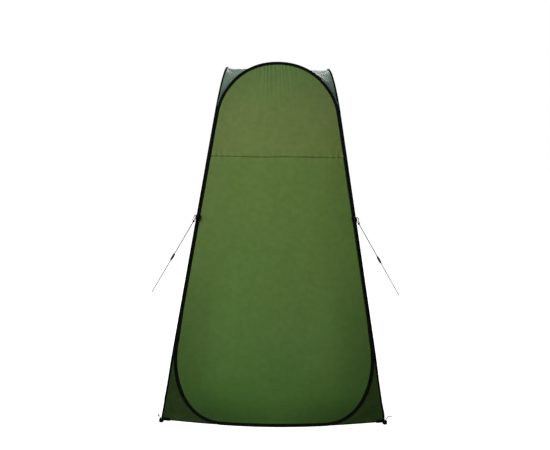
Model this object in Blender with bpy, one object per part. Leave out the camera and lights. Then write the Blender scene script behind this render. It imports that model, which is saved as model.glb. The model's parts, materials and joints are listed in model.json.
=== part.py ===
"""Pop-up privacy shower tent: four sprung hoop walls, a roof, a zipped door, pegs and guy lines.

Metres, +Z up. The origin is on the ground below the middle of the roof, and the front wall
faces -Y. A wall is laid out flat in (u, v, n): u runs across it, v up its slope from the ground,
and n out of its inner face. place() bends that sheet outwards near the ground and stands it on
its side of the square, so all four walls share their outlines.
"""

import math

import bmesh
import bpy
from mathutils import Matrix, Vector

# Overall size
BASE_HALF = 0.600          # centre of the tent to a wall's outer face, at the ground
TOP_HALF = 0.294           # the same at the top of the arches
HEIGHT = 1.900
GAP = 0.0004               # running gap between pieces that touch
EDGE_GAP = 0.0012          # hoop edge to the corner line it folds about

# Section of a hoop: a spring steel wire in a folded tape that also holds the fabric's edge
BINDING_WIDTH = 0.0140
BINDING_DEPTH = 0.0064
BINDING_SKIN = 0.0008
WIRE_RADIUS = 0.0012
WIRE_INSET = 0.0033
FERRULE_RADIUS = 0.0021
FERRULE_LENGTH = 0.040
FABRIC = 0.0030
FABRIC_INSET = 0.0095

# Outline of a hoop
ARCH_V = 1.660             # where the straight side turns into the arch
ARCH_SIDE_HANDLE = 0.085
ARCH_TOP_HANDLE = 0.224
CORNER_V = 0.407           # where the straight side turns into the bottom corner
CORNER_SIDE_HANDLE = 0.205
FLAT_HALF = 0.265          # half of the level run at the bottom
FLAT_HANDLE = 0.215
BOWS = (0.070, 0.028, 0.070, 0.028)  # how far the bottom of each wall stands out at its middle
BOW_FADE = 0.350           # height over which those bows fade

SEAM_V = 1.417             # level seam across the front wall
HEM_V = 0.0015             # lower edge of the skirts

# Roof
ROOF_CENTRE_Z = 1.868
ROOF_DROP = 0.006          # roof seam below the top edge of the arches
ROOF_POWER = 1.7

# Door in the back wall
DOOR_HINGE_INSET = 0.030
DOOR_FREE_INSET = 0.075
DOOR_SILL = 0.090
DOOR_HEAD_INSET = 0.075
DOOR_GAP = 0.003
DOOR_AXIS_N = 0.0070
ZIP_TAPE = 0.009
ZIP_DEPTH = 0.0012
ZIP_MEET = 0.0007          # how far each half of the zip reaches over the gap's edge
ZIP_END = 0.040            # top of the slider's travel below the arch
SLIDER_V = 0.440
SLIDER_SIZE = (0.0100, 0.0220, 0.0050)
SLIDER_LIFT = 0.0012       # slider over the zip
SLIDER_BEVEL = 0.0014
BAIL_RADII = (0.0016, 0.0028)
BAIL_WIDTH = 0.0016
PULL_SIZE = (0.0075, 0.0340, 0.0014)
PULL_LIFT = 0.0017         # pull's axis over the slider's face
PULL_BAR = 0.0020          # bar at the pull's head, held by the bail
PULL_SLOT = (0.0032, 0.0030)
PULL_CORNER = 0.0020
SLOT_CORNER = 0.0005
TIE_V = 1.050
TIE_LOOP = (0.0160, 0.0080)  # half height and half depth of the tie's loop
TIE_STAND = 0.0090
TIE_OPEN_DEG = 60
TIE_WIDTH = 0.0100
TOGGLE_DROP = 0.0600
TOGGLE_STAND = 0.0055
TOGGLE_LENGTH = 0.0300
TOGGLE_RADII = (0.0045, 0.0030)  # at its middle and at its ends

# Webbing, pegs and guy lines
WEBBING = 0.0024
TAB_RADIUS = 0.0110
TAB_REACH = -0.0020        # loop's middle past the corner line: it stands in front of it
TAB_STAND = 0.0045         # between the loop and the corner
TAB_SEAM = 0.0100          # sewn end short of the corner line
TAB_ARC_DEG = (-105, 210)
TAB_STEPS = 12
GROUND_TAB_TAIL = 0.0360
GROUND_TAB_HEIGHT = 0.0160
PEG_RADIUS = 0.0020
PEG_SHAFT = 0.046
PEG_HOOK = 0.022
PEG_BEND = 0.0070
PEG_SHIFT = 0.0040         # foot towards the tent from the loop's middle
PEG_LIFT = 0.0030
PEG_LEAN = (0.44, 0.14, 0.88)  # along the wall, out of it and up
GUY_V = 1.080
GUY_TAB_TAIL = 0.0080
GUY_TAB_HEIGHT = 0.018
ROPE_RADIUS = 0.0015
ROPE_LOOP_RADIUS = 0.0135
ROPE_LOOP_GAP = 0.0040     # run's start past its loop
ROPE_LOOP_DEG = (8, 341)   # loop's ends, from the run round to the run
ROPE_LOOP_STEPS = 16
ROPE_LENGTH = 0.455
ROPE_FALL_DEG = 51.8       # slope of the taut rope below level
TENSIONER_AT = 0.245       # along the rope from its loop
TENSIONER_LENGTH = 0.034
TENSIONER_HALF = (0.0030, 0.0055)
TENSIONER_TAPER = 0.8
KNOT_AT = 0.0105           # knot's middle past the loop
KNOT_RADII = (0.0040, 0.0019)  # of its ring and of its strand

SLOPE = math.atan((BASE_HALF - TOP_HALF) / HEIGHT)
SIN = math.sin(SLOPE)
COS = math.cos(SLOPE)
INNER_HALF = BASE_HALF - BINDING_DEPTH / COS
TOP_V = (HEIGHT - BINDING_DEPTH * SIN) / COS
FABRIC_LOW = (BINDING_DEPTH - FABRIC) / 2
FABRIC_HIGH = (BINDING_DEPTH + FABRIC) / 2

FRONT, RIGHT, BACK, LEFT = range(4)
WALL_NAMES = ("front", "right", "back", "left")


# ---- Materials -------------------------------------------------------------------------------

def make_material(name, colour, roughness, metallic=0.0):
    mat = bpy.data.materials.new(name)
    mat.use_nodes = True
    shader = mat.node_tree.nodes["Principled BSDF"]
    shader.inputs["Base Color"].default_value = (*colour, 1.0)
    shader.inputs["Roughness"].default_value = roughness
    shader.inputs["Metallic"].default_value = metallic
    mat.diffuse_color = (*colour, 1.0)
    return mat


def fabric_material(name):
    return make_material(name, (0.085, 0.140, 0.038), 0.75)


def roof_material(name):
    return make_material(name, (0.150, 0.220, 0.130), 0.60)


def webbing_material(name):
    return make_material(name, (0.006, 0.007, 0.006), 0.85)


def steel_material(name):
    return make_material(name, (0.420, 0.430, 0.440), 0.35, 1.0)


def plastic_material(name):
    return make_material(name, (0.008, 0.008, 0.009), 0.40)


def cord_material(name):
    return make_material(name, (0.050, 0.050, 0.052), 0.80)


# ---- Wall geometry ---------------------------------------------------------------------------

def half_width(v):
    """Half width of a wall's inner face at v: its corner lines run here."""
    return INNER_HALF - v * SIN


def bow(wall, u, v):
    """How far the sprung sheet stands out at (u, v): nothing along the corner lines."""
    across = math.cos(math.pi / 2 * min(1.0, abs(u) / half_width(v)))
    return BOWS[wall] * across * math.exp(-max(v, 0.0) / BOW_FADE)


def place(wall, u, v, n, bowed=True):
    """World point of (u, v, n) on a wall."""
    out = half_width(v) + n * COS + (bow(wall, u, v) if bowed else 0.0)
    local = Vector((u, -out, v * COS + n * SIN))
    return Matrix.Rotation(math.radians(90 * wall), 3, "Z") @ local


def bezier(p0, p1, p2, p3, steps):
    """Points of a cubic curve in the plane, both ends included."""
    points = []
    for i in range(steps + 1):
        t = i / steps
        s = 1 - t
        weights = (s ** 3, 3 * s * s * t, 3 * s * t * t, t ** 3)
        points.append(sum((w * p for w, p in zip(weights, (p0, p1, p2, p3))), Vector((0, 0))))
    return points


def half_outline(inset, low, high, straight_steps=4, arch_steps=9):
    """Right half of a wall outline, from the bottom middle to the top middle."""
    along = Vector((-SIN, 1)).normalized()
    foot = Vector((half_width(CORNER_V) - inset, CORNER_V))
    shoulder = Vector((half_width(ARCH_V) - inset, ARCH_V))
    flat = Vector((FLAT_HALF, low))
    reach = (CORNER_V - low) / CORNER_V
    corner = bezier(flat, flat + Vector((FLAT_HANDLE - inset, 0)),
                    foot - along * CORNER_SIDE_HANDLE * reach, foot, 8)
    rise = (high - ARCH_V) / (TOP_V - ARCH_V)
    top = Vector((0, high))
    arch = bezier(shoulder, shoulder + along * ARCH_SIDE_HANDLE * rise,
                  top + Vector((ARCH_TOP_HANDLE - inset / 2, 0)), top, arch_steps)
    level = [Vector((FLAT_HALF * i / 4, low)) for i in range(4)]
    side = [foot.lerp(shoulder, i / straight_steps) for i in range(1, straight_steps)]
    return level + corner + side + arch


def outline(left, right, low, high):
    """Closed outline, counter-clockwise seen from outside, with its own inset on each side."""
    right_half = half_outline(right, low, high)
    left_half = [Vector((-p.x, p.y)) for p in half_outline(left, low, high)]
    return right_half + left_half[-2:0:-1]


def hoop_outline():
    return outline(EDGE_GAP, EDGE_GAP, 0.0, TOP_V)


def normals(points, closed=True):
    """Unit normal at each point of a counter-clockwise outline, pointing out of it."""
    count = len(points)
    result = []
    for i in range(count):
        before = points[(i - 1) % count] if closed or i > 0 else points[0]
        after = points[(i + 1) % count] if closed or i < count - 1 else points[-1]
        run = after - before
        result.append(Vector((run.y, -run.x)).normalized())
    return result


def offset(points, distance, closed=True):
    """The outline moved outwards by distance (inwards when it is negative)."""
    return [p + m * distance for p, m in zip(points, normals(points, closed))]


def ray_hit(points, centre, direction):
    """Where a ray from centre crosses a closed outline."""
    for a, b in zip(points, points[1:] + points[:1]):
        edge = b - a
        cross = direction.x * edge.y - direction.y * edge.x
        if abs(cross) < 1e-12:
            continue
        to_a = a - centre
        reach = (to_a.x * edge.y - to_a.y * edge.x) / cross
        along = (to_a.x * direction.y - to_a.y * direction.x) / cross
        if reach > 0 and -1e-9 <= along <= 1 + 1e-9:
            return centre + direction * reach
    raise ValueError("the ray misses the outline")


# ---- Mesh helpers ----------------------------------------------------------------------------

def add_object(name, verts, faces, mat, parent=None):
    """Closed mesh object in world coordinates, its faces turned outwards."""
    mesh = bpy.data.meshes.new(name)
    mesh.from_pydata([tuple(v) for v in verts], [], faces)
    shape = bmesh.new()
    shape.from_mesh(mesh)
    bmesh.ops.recalc_face_normals(shape, faces=shape.faces)
    if shape.calc_volume(signed=True) < 0:
        bmesh.ops.reverse_faces(shape, faces=shape.faces)
    shape.to_mesh(mesh)
    shape.free()
    mesh.shade_smooth()
    mesh.set_sharp_from_angle(angle=math.radians(35))
    mesh.materials.append(mat)
    obj = bpy.data.objects.new(name, mesh)
    bpy.context.scene.collection.objects.link(obj)
    if parent:
        obj.parent = parent
        obj.matrix_parent_inverse = parent.matrix_world.inverted()
    return obj


def add_pivot(name, position, parent=None):
    """Empty on a joint's axis. What moves with the joint is parented to it."""
    pivot = bpy.data.objects.new(name, None)
    bpy.context.scene.collection.objects.link(pivot)
    pivot.matrix_world = Matrix.Translation(position)
    if parent:
        pivot.parent = parent
        pivot.matrix_parent_inverse = parent.matrix_world.inverted()
    bpy.context.view_layer.update()
    return pivot


def grid_solid(lower, upper, closed=False):
    """Solid between two matching grids of points. closed joins the last row to the first."""
    rows = len(lower)
    cols = len(lower[0])
    verts = [p for grid in (lower, upper) for row in grid for p in row]

    def index(side, r, c):
        return side * rows * cols + (r % rows) * cols + c

    faces = []
    spans = rows if closed else rows - 1
    for r in range(spans):
        for c in range(cols - 1):
            for side in (0, 1):
                faces.append([index(side, r, c), index(side, r + 1, c),
                              index(side, r + 1, c + 1), index(side, r, c + 1)])
        for c in (0, cols - 1):
            faces.append([index(0, r, c), index(0, r + 1, c), index(1, r + 1, c), index(1, r, c)])
    if not closed:
        for r in (0, rows - 1):
            for c in range(cols - 1):
                faces.append([index(0, r, c), index(0, r, c + 1),
                              index(1, r, c + 1), index(1, r, c)])
    return verts, faces


def loop_solid(loops, close_path):
    """Solid through a row of closed cross sections, joined end to end or capped."""
    count = len(loops)
    size = len(loops[0])
    verts = [p for loop in loops for p in loop]
    faces = []
    for r in range(count if close_path else count - 1):
        for k in range(size):
            a = r * size
            b = (r + 1) % count * size
            faces.append([a + k, a + (k + 1) % size, b + (k + 1) % size, b + k])
    if not close_path:
        faces.append(list(range(size)))
        faces.append(list(range((count - 1) * size, count * size)))
    return verts, faces


def disc_solid(wall, points, centre, scales, n_low, n_high):
    """Sheet of a wall inside a closed outline, as rings about its centre."""
    size = len(points)
    verts = []
    for n in (n_low, n_high):
        for scale in scales:
            ring = [centre + (p - centre) * scale for p in points]
            verts += [place(wall, p.x, p.y, n) for p in ring]
        verts.append(place(wall, centre.x, centre.y, n))
    side_size = size * len(scales) + 1
    faces = []
    for side in (0, 1):
        base = side * side_size
        for r in range(len(scales) - 1):
            for k in range(size):
                a = base + r * size
                b = a + size
                faces.append([a + k, a + (k + 1) % size, b + (k + 1) % size, b + k])
        last = base + (len(scales) - 1) * size
        for k in range(size):
            faces.append([last + k, last + (k + 1) % size, base + side_size - 1])
    for k in range(size):
        faces.append([k, (k + 1) % size, side_size + (k + 1) % size, side_size + k])
    return verts, faces


def path_frames(path, closed):
    """A tangent and two cross directions at each point of a path, turning as little as it can."""
    count = len(path)
    frames = []
    cross = None
    for i in range(count):
        before = path[(i - 1) % count] if closed or i > 0 else path[0]
        after = path[(i + 1) % count] if closed or i < count - 1 else path[-1]
        tangent = (after - before).normalized()
        if cross is None:
            helper = Vector((0, 0, 1)) if abs(tangent.z) < 0.9 else Vector((1, 0, 0))
            cross = tangent.cross(helper).normalized()
        cross = (cross - tangent * cross.dot(tangent)).normalized()
        frames.append((tangent, cross, tangent.cross(cross)))
    return frames


def tube_loops(path, radius, sides, closed=False, stretch=1.0):
    """Round cross sections along a path. stretch widens them in their second direction."""
    loops = []
    for point, (_, a, b) in zip(path, path_frames(path, closed)):
        turns = [2 * math.pi * k / sides for k in range(sides)]
        loops.append([point + a * radius * math.cos(t) + b * radius * stretch * math.sin(t)
                      for t in turns])
    return loops


def box_solid(centre, axes, size):
    """Box about centre, with its edges along three unit axes."""
    verts = []
    for x in (-0.5, 0.5):
        for y in (-0.5, 0.5):
            for z in (-0.5, 0.5):
                verts.append(centre + axes[0] * x * size[0] + axes[1] * y * size[1]
                             + axes[2] * z * size[2])
    faces = [(0, 1, 3, 2), (4, 5, 7, 6), (0, 1, 5, 4), (2, 3, 7, 6), (0, 2, 6, 4), (1, 3, 7, 5)]
    return verts, faces


# ---- Hoops and fabric ------------------------------------------------------------------------

def build_binding(wall, parent):
    """Folded tape round the hoop, its slot open towards the fabric."""
    depth = BINDING_DEPTH
    skin = BINDING_SKIN
    width = BINDING_WIDTH
    section = ((0, 0), (0, depth), (-width, depth), (-width, depth - skin),
               (-skin, depth - skin), (-skin, skin), (-width, skin), (-width, 0))
    points = hoop_outline()
    loops = []
    for point, normal in zip(points, normals(points)):
        loop = []
        for across, n in section:
            spot = point + normal * across
            loop.append(place(wall, spot.x, max(spot.y, 0.0), n))
        loops.append(loop)
    name = WALL_NAMES[wall] + "_hoop_binding"
    add_object(name, *loop_solid(loops, True), webbing_material(name), parent)


def wire_path(wall, points):
    inset = offset(points, -WIRE_INSET)
    return [place(wall, p.x, p.y, BINDING_DEPTH / 2) for p in inset]


def build_wire(wall, parent):
    """Closed hoop of spring steel inside the binding."""
    name = WALL_NAMES[wall] + "_hoop_wire"
    loops = tube_loops(wire_path(wall, hoop_outline()), WIRE_RADIUS, 6, closed=True)
    add_object(name, *loop_solid(loops, True), steel_material(name), parent)


def build_ferrule(wall, parent):
    """Crimped tube that joins the wire's two ends, at the middle of the bottom."""
    spots = [Vector((FERRULE_LENGTH * (i / 2 - 0.5), WIRE_INSET)) for i in range(3)]
    path = [place(wall, p.x, p.y, BINDING_DEPTH / 2) for p in spots]
    inner = tube_loops(path, WIRE_RADIUS + GAP, 8)
    outer = tube_loops(path, FERRULE_RADIUS, 8)
    name = WALL_NAMES[wall] + "_wire_ferrule"
    around_inner = [[loop[k] for loop in inner] for k in range(8)]
    around_outer = [[loop[k] for loop in outer] for k in range(8)]
    add_object(name, *grid_solid(around_inner, around_outer, closed=True),
               steel_material(name), parent)


def fabric_outline():
    return offset(hoop_outline(), -FABRIC_INSET)


def build_panel(wall, name, points, parent):
    """Fabric inside a hoop, or inside a part of one."""
    low = min(p.y for p in points)
    high = max(p.y for p in points)
    centre = Vector((0, (low + high) / 2))
    scales = (1.0, 0.72, 0.38)
    solid = disc_solid(wall, points, centre, scales, FABRIC_LOW, FABRIC_HIGH)
    add_object(name, *solid, fabric_material(name), parent)


def cut_outline(points, level, above):
    """The part of a closed outline above or below a level, with points along the cut."""
    keep = [p for p in points if (p.y > level) == above]
    edge = [ray_hit(points, Vector((0, level)), Vector((sign, 0))) for sign in (1, -1)]
    cut = [edge[0].lerp(edge[1], i / 6) for i in range(7)]
    split = max(range(len(keep)), key=lambda i: (keep[i] - keep[i - 1]).length)
    if above:
        return keep[split:] + keep[:split] + cut[::-1]
    return keep[split:] + keep[:split] + cut


def build_front_panels(parent):
    """The front wall's fabric: two pieces that meet at the level seam."""
    points = fabric_outline()
    upper = cut_outline(points, SEAM_V + GAP, True)
    lower = cut_outline(points, SEAM_V - GAP, False)
    build_panel(FRONT, "front_upper_panel", upper, parent)
    build_panel(FRONT, "front_lower_panel", lower, parent)


def build_skirt(wall, side, name, parent):
    """Fabric between the hoop's rounded bottom corner, the corner line and the ground."""
    half = [p for p in half_outline(EDGE_GAP, 0.0, TOP_V)[4:12]]
    hoop_edge = offset(half, GAP, closed=False)[::-1]
    hoop_edge = [p for p in hoop_edge if p.y > HEM_V + 0.003]
    corner_foot = Vector((half_width(HEM_V) - EDGE_GAP, HEM_V))
    down = 3
    along = len(hoop_edge) - down - 1
    start = Vector((half_width(hoop_edge[0].y) - EDGE_GAP, hoop_edge[0].y))
    end = Vector((hoop_edge[-1].x, HEM_V))
    outer_edge = [start.lerp(corner_foot, i / down) for i in range(down)]
    outer_edge += [corner_foot.lerp(end, i / along) for i in range(along + 1)]
    grids = []
    for n in (FABRIC_LOW, FABRIC_HIGH):
        grids.append([[place(wall, side * a.lerp(b, t).x, a.lerp(b, t).y, n)
                       for t in (0.0, 0.5, 1.0)] for a, b in zip(hoop_edge, outer_edge)])
    add_object(name, *grid_solid(*grids), fabric_material(name), parent)


def roof_ridge(reach):
    """Height of the roof over a corner's diagonal. reach is 0 in the middle, 1 at the corner."""
    corner_z = ARCH_V * COS - ROOF_DROP
    return corner_z + (ROOF_CENTRE_Z - corner_z) * (1 - reach ** ROOF_POWER)


def build_roof_gore(wall, parent):
    """One of the roof's four gores: from its own arch to the two diagonals."""
    half = half_outline(EDGE_GAP, 0.0, TOP_V)[-9:]
    arch = [Vector((-p.x, p.y)) for p in half[:-1]] + half[::-1]
    turn = Matrix.Rotation(math.radians(90 * wall), 3, "Z")
    grids = []
    for lift in (0.0, FABRIC):
        grid = []
        for spot in arch:
            seam_z = (spot.y - ROOF_DROP) * COS - FABRIC + lift
            seam_out = half_width((seam_z + FABRIC) / COS) - 2 * GAP
            ridge_out = abs(spot.x) + GAP
            ridge_z = roof_ridge(abs(spot.x) / half_width(ARCH_V)) - FABRIC + lift
            row = []
            for t in (0.0, 0.25, 0.6, 1.0):
                out = seam_out + (ridge_out - seam_out) * t
                height = seam_z + (ridge_z - seam_z) * t
                row.append(turn @ Vector((spot.x, -out, height)))
            grid.append(row)
        grids.append(grid)
    name = WALL_NAMES[wall] + "_roof_gore"
    add_object(name, *grid_solid(*grids), roof_material(name), parent)


# ---- Door ------------------------------------------------------------------------------------

def door_outline(grow):
    """The door's outline on the back wall, made larger by grow."""
    return outline(DOOR_HINGE_INSET - grow, DOOR_FREE_INSET - grow,
                   DOOR_SILL - grow, TOP_V - DOOR_HEAD_INSET + grow)


def build_door_surround(parent):
    """Fixed fabric of the back wall, round the doorway."""
    opening = door_outline(DOOR_GAP / 2)
    edge = fabric_outline()
    centre = Vector((0, 0.9))
    rim = [ray_hit(edge, centre, (p - centre).normalized()) for p in opening]
    grids = []
    for n in (FABRIC_LOW, FABRIC_HIGH):
        grids.append([[place(BACK, a.lerp(b, t).x, a.lerp(b, t).y, n) for t in (0.0, 0.5, 1.0)]
                      for a, b in zip(rim, opening)])
    name = "back_door_surround"
    add_object(name, *grid_solid(*grids, closed=True), fabric_material(name), parent)


def build_door_leaf(parent):
    build_panel(BACK, "door_leaf", door_outline(-DOOR_GAP / 2), parent)


def zip_run(points):
    """The zip's run: from just round the hinge side's bottom corner to where its arch starts."""
    hinge = [i for i, p in enumerate(points) if p.x < 0 and CORNER_V <= p.y <= ARCH_V]
    first = hinge[-1] + 1
    count = len(points) - (first - hinge[0])
    return [points[(first + i) % len(points)] for i in range(count + 1)]


def build_zip_tape(name, grow, reach, parent):
    """Half of the zip, sewn on the outer face along one edge of the doorway's gap."""
    edge = zip_run(door_outline(grow))
    other = offset(edge, reach, closed=False)
    low = FABRIC_HIGH + GAP
    grids = []
    for n in (low, low + ZIP_DEPTH):
        grids.append([[place(BACK, a.lerp(b, t).x, a.lerp(b, t).y, n) for t in (0.0, 1.0)]
                      for a, b in zip(edge, other)])
    add_object(name, *grid_solid(*grids), webbing_material(name), parent)


def zip_line(v):
    """Point of the zip's straight side, on the tent's half of it."""
    return Vector((half_width(v) - DOOR_FREE_INSET + DOOR_GAP / 2 + SLIDER_SIZE[0] / 2, v))


def slider_frame():
    """Centre of the slider and its axes: across, along and out of the wall."""
    low_n = FABRIC_HIGH + GAP + ZIP_DEPTH + SLIDER_LIFT + SLIDER_SIZE[2] / 2
    start = zip_line(SLIDER_V)
    end = zip_line(ARCH_V - ZIP_END)
    centre = place(BACK, start.x, start.y, low_n)
    along = (place(BACK, end.x, end.y, low_n) - centre).normalized()
    step = place(BACK, start.x + SLIDER_SIZE[0], start.y, low_n) - centre
    across = (step - along * step.dot(along)).normalized()
    return centre, (across, along, across.cross(along))


def pull_axis():
    """A point on the axis that the pull swings about, and the slider's axes."""
    centre, axes = slider_frame()
    return centre + axes[2] * (SLIDER_SIZE[2] / 2 + PULL_LIFT), axes


def build_bail(parent):
    """Hidden arch over the pull's bar, which the slider takes in."""
    eye, (across, along, out) = pull_axis()
    foot = -(PULL_LIFT + SLIDER_SIZE[2] / 4)
    grids = []
    for side in (-0.5, 0.5):
        grid = []
        for radius in BAIL_RADII:
            arch = [(radius * math.cos(t), radius * math.sin(t))
                    for t in (math.pi * k / 6 for k in range(7))]
            arch = [(radius, foot)] + arch + [(-radius, foot)]
            grid.append([eye + across * side * BAIL_WIDTH + along * x + out * z for x, z in arch])
        grids.append(grid)
    bail = add_object("zip_bail", *grid_solid(*grids), steel_material("zip_bail"), parent)
    bail.hide_render = True
    bail.display_type = "WIRE"
    return bail


def build_slider(parent):
    """Zip slider at the bottom of the straight side, with the bail that holds its pull."""
    centre, axes = slider_frame()
    obj = add_object("zip_slider", *box_solid(centre, axes, SLIDER_SIZE),
                     steel_material("zip_slider"), parent)
    bevel = obj.modifiers.new("rounded", "BEVEL")
    bevel.width = SLIDER_BEVEL
    bevel.segments = 1
    union = obj.modifiers.new("bail", "BOOLEAN")
    union.operation = "UNION"
    union.object = build_bail(parent)


def rounded_rectangle(half, low, high, corner):
    """Outline in (across, along), counter-clockwise, three points to a corner."""
    points = []
    for k, (x, y) in enumerate(((half, high), (-half, high), (-half, low), (half, low))):
        middle = Vector((x - math.copysign(corner, x), high - corner if y == high else low + corner))
        for step in range(3):
            turn = math.radians(90 * k + 45 * step)
            points.append(middle + Vector((math.cos(turn), math.sin(turn))) * corner)
    return points


def build_pull(parent):
    """Pull tab: its bar turns in the bail, which passes through its slot."""
    eye, (across, along, out) = pull_axis()
    tail = PULL_BAR / 2 - PULL_SIZE[1]
    outer = rounded_rectangle(PULL_SIZE[0] / 2, tail, PULL_BAR / 2, PULL_CORNER)
    slot_end = -PULL_BAR / 2 - PULL_SLOT[1]
    inner = rounded_rectangle(PULL_SLOT[0] / 2, slot_end, -PULL_BAR / 2, SLOT_CORNER)
    grids = []
    for side in (-0.5, 0.5):
        lift = eye + out * side * PULL_SIZE[2]
        grids.append([[lift + across * p.x + along * p.y for p in pair]
                      for pair in zip(inner, outer)])
    add_object("zip_pull", *grid_solid(*grids, closed=True), steel_material("zip_pull"), parent)


def build_tie(parent):
    """Toggle and loop beside the hinge that hold the door when it is rolled open."""
    side = -(half_width(TIE_V) - BINDING_WIDTH / 2 - EDGE_GAP)
    base_n = BINDING_DEPTH + GAP
    steps = 12
    half_turn = math.pi - math.radians(TIE_OPEN_DEG / 2)
    loop = []
    for k in range(steps + 1):
        turn = half_turn * (2 * k / steps - 1)
        loop.append(Vector((TIE_V + TIE_LOOP[0] * math.sin(turn),
                            base_n + TIE_STAND - TIE_LOOP[1] * math.cos(turn))))
    strip = offset(loop, WEBBING / 4, closed=False)
    other = offset(loop, -WEBBING / 4, closed=False)
    grids = []
    for shift in (-TIE_WIDTH / 2, TIE_WIDTH / 2):
        grids.append([[place(BACK, side + shift, p.x, p.y) for p in pair]
                      for pair in zip(strip, other)])
    add_object("door_tie_loop", *grid_solid(*grids), webbing_material("door_tie_loop"), parent)
    path = [place(BACK, side, TIE_V - TOGGLE_DROP + TOGGLE_LENGTH * (i / 3 - 0.5),
                  base_n + TOGGLE_STAND) for i in range(4)]
    loops = tube_loops(path, TOGGLE_RADII[0], 8)
    loops[0], _, _, loops[-1] = tube_loops(path, TOGGLE_RADII[1], 8)
    add_object("door_tie_toggle", *loop_solid(loops, False),
               plastic_material("door_tie_toggle"), parent)


# ---- Webbing tabs, pegs and guy lines --------------------------------------------------------

def corner_frame(wall, side, v, n):
    """A corner's outer point at v, the way along the wall to it, and the way out diagonally."""
    corner = place(wall, side * half_width(v), v, n)
    along = place(wall, side, 0, 0, bowed=False) - place(wall, 0, 0, 0, bowed=False)
    along.normalize()
    face = place(wall, 0, 0, 1, bowed=False) - place(wall, 0, 0, 0, bowed=False)
    face.z = 0
    face.normalize()
    return corner, along, face


def tab_path(wall, side, v, n, tail):
    """Run of the webbing, level: a tail sewn on the wall, then a loop out in front of the corner."""
    corner, along, face = corner_frame(wall, side, v, n)
    centre = corner + along * TAB_REACH + face * (TAB_RADIUS + TAB_STAND)
    path = []
    for i in range(3):
        u = side * (half_width(v) - tail * (1 - i / 2) - TAB_SEAM)
        path.append(place(wall, u, v, n))
    start, end = TAB_ARC_DEG
    for k in range(TAB_STEPS + 1):
        turn = math.radians(start + (end - start) * k / TAB_STEPS)
        path.append(centre + (along * math.cos(turn) + face * math.sin(turn)) * TAB_RADIUS)
    return path, centre


def build_tab(name, path, up, parent):
    """Webbing along a level path, standing on its edge."""
    frames = path_frames(path, False)
    lower = []
    for point, (tangent, _, _) in zip(path, frames):
        across = tangent.cross(Vector((0, 0, 1))).normalized() * WEBBING / 2
        lower.append([point - across, point + across])
    upper = [[p + up for p in row] for row in lower]
    add_object(name, *grid_solid(lower, upper), webbing_material(name), parent)


def ground_tab_path(wall, side):
    n = FABRIC_HIGH + 2 * GAP + WEBBING / 2
    path, centre = tab_path(wall, side, 0.0, n, GROUND_TAB_TAIL)
    for point in path:
        point.z = 0.0
    centre.z = 0.0
    return path, centre


def build_ground_tab(name, wall, side, parent):
    """Corner loop that a peg goes through. It rests on the ground."""
    path, _ = ground_tab_path(wall, side)
    build_tab(name, path, Vector((0, 0, GROUND_TAB_HEIGHT)), parent)


def peg_axis(wall, side):
    """Foot of a peg in its loop and the direction of its shaft."""
    _, along, face = corner_frame(wall, side, 0.0, 0.0)
    _, centre = ground_tab_path(wall, side)
    up = Vector((0, 0, 1))
    foot = centre - (along + face) * PEG_SHIFT + up * PEG_LIFT
    lean = zip((along, face, up), PEG_LEAN)
    return foot, sum((way * share for way, share in lean), Vector()).normalized()


def build_peg(name, wall, side, hook_turn, parent):
    """Wire peg: a shaft and a hook, which points hook_turn degrees round from the wall."""
    _, along, face = corner_frame(wall, side, 0.0, 0.0)
    foot, direction = peg_axis(wall, side)
    turn = math.radians(hook_turn)
    level = along * math.cos(turn) + face * math.sin(turn)
    head = foot + direction * PEG_SHAFT
    path = [foot, foot + direction * PEG_SHAFT / 2]
    path += [head + (level * t ** 2 - direction * (1 - t) ** 2) * PEG_BEND
             for t in (0.0, 0.35, 0.65, 1.0)]
    path.append(head + level * PEG_HOOK)
    add_object(name, *loop_solid(tube_loops(path, PEG_RADIUS, 8), False),
               steel_material(name), parent)


def guy_tab_path(wall, side):
    return tab_path(wall, side, GUY_V, BINDING_DEPTH + GAP + WEBBING / 2, GUY_TAB_TAIL)


def build_guy_tab(name, wall, side, parent):
    """Loop on the corner seam that the guy line is tied to."""
    path, _ = guy_tab_path(wall, side)
    up = (place(wall, side * half_width(GUY_V + 1), GUY_V + 1, 0, bowed=False)
          - place(wall, side * half_width(GUY_V), GUY_V, 0, bowed=False)).normalized()
    path = [p - up * GUY_TAB_HEIGHT / 2 for p in path]
    build_tab(name, path, up * GUY_TAB_HEIGHT, parent)


def guy_frame(wall, side):
    """Pivot of a guy line in its tab, the way out over level ground and the rope's direction."""
    _, along, face = corner_frame(wall, side, GUY_V, 0.0)
    _, centre = guy_tab_path(wall, side)
    level = (along + face).normalized()
    fall = math.radians(ROPE_FALL_DEG)
    direction = level * math.cos(fall) - Vector((0, 0, 1)) * math.sin(fall)
    return centre + level * TAB_RADIUS, level, direction


def build_rope(name, wall, side, parent):
    """Guy line: its loop through the tab, then the taut run down to its end."""
    pivot, level, direction = guy_frame(wall, side)
    up = Vector((0, 0, 1))
    path = [pivot + direction * ROPE_LENGTH, pivot + direction * (ROPE_LENGTH / 2),
            pivot + direction * (ROPE_LOOP_RADIUS + ROPE_LOOP_GAP)]
    start, end = ROPE_LOOP_DEG
    for k in range(ROPE_LOOP_STEPS + 1):
        turn = math.radians(start + (end - start) * k / ROPE_LOOP_STEPS - ROPE_FALL_DEG)
        path.append(pivot + (level * math.cos(turn) + up * math.sin(turn)) * ROPE_LOOP_RADIUS)
    add_object(name, *loop_solid(tube_loops(path, ROPE_RADIUS, 6), False),
               cord_material(name), parent)


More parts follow.
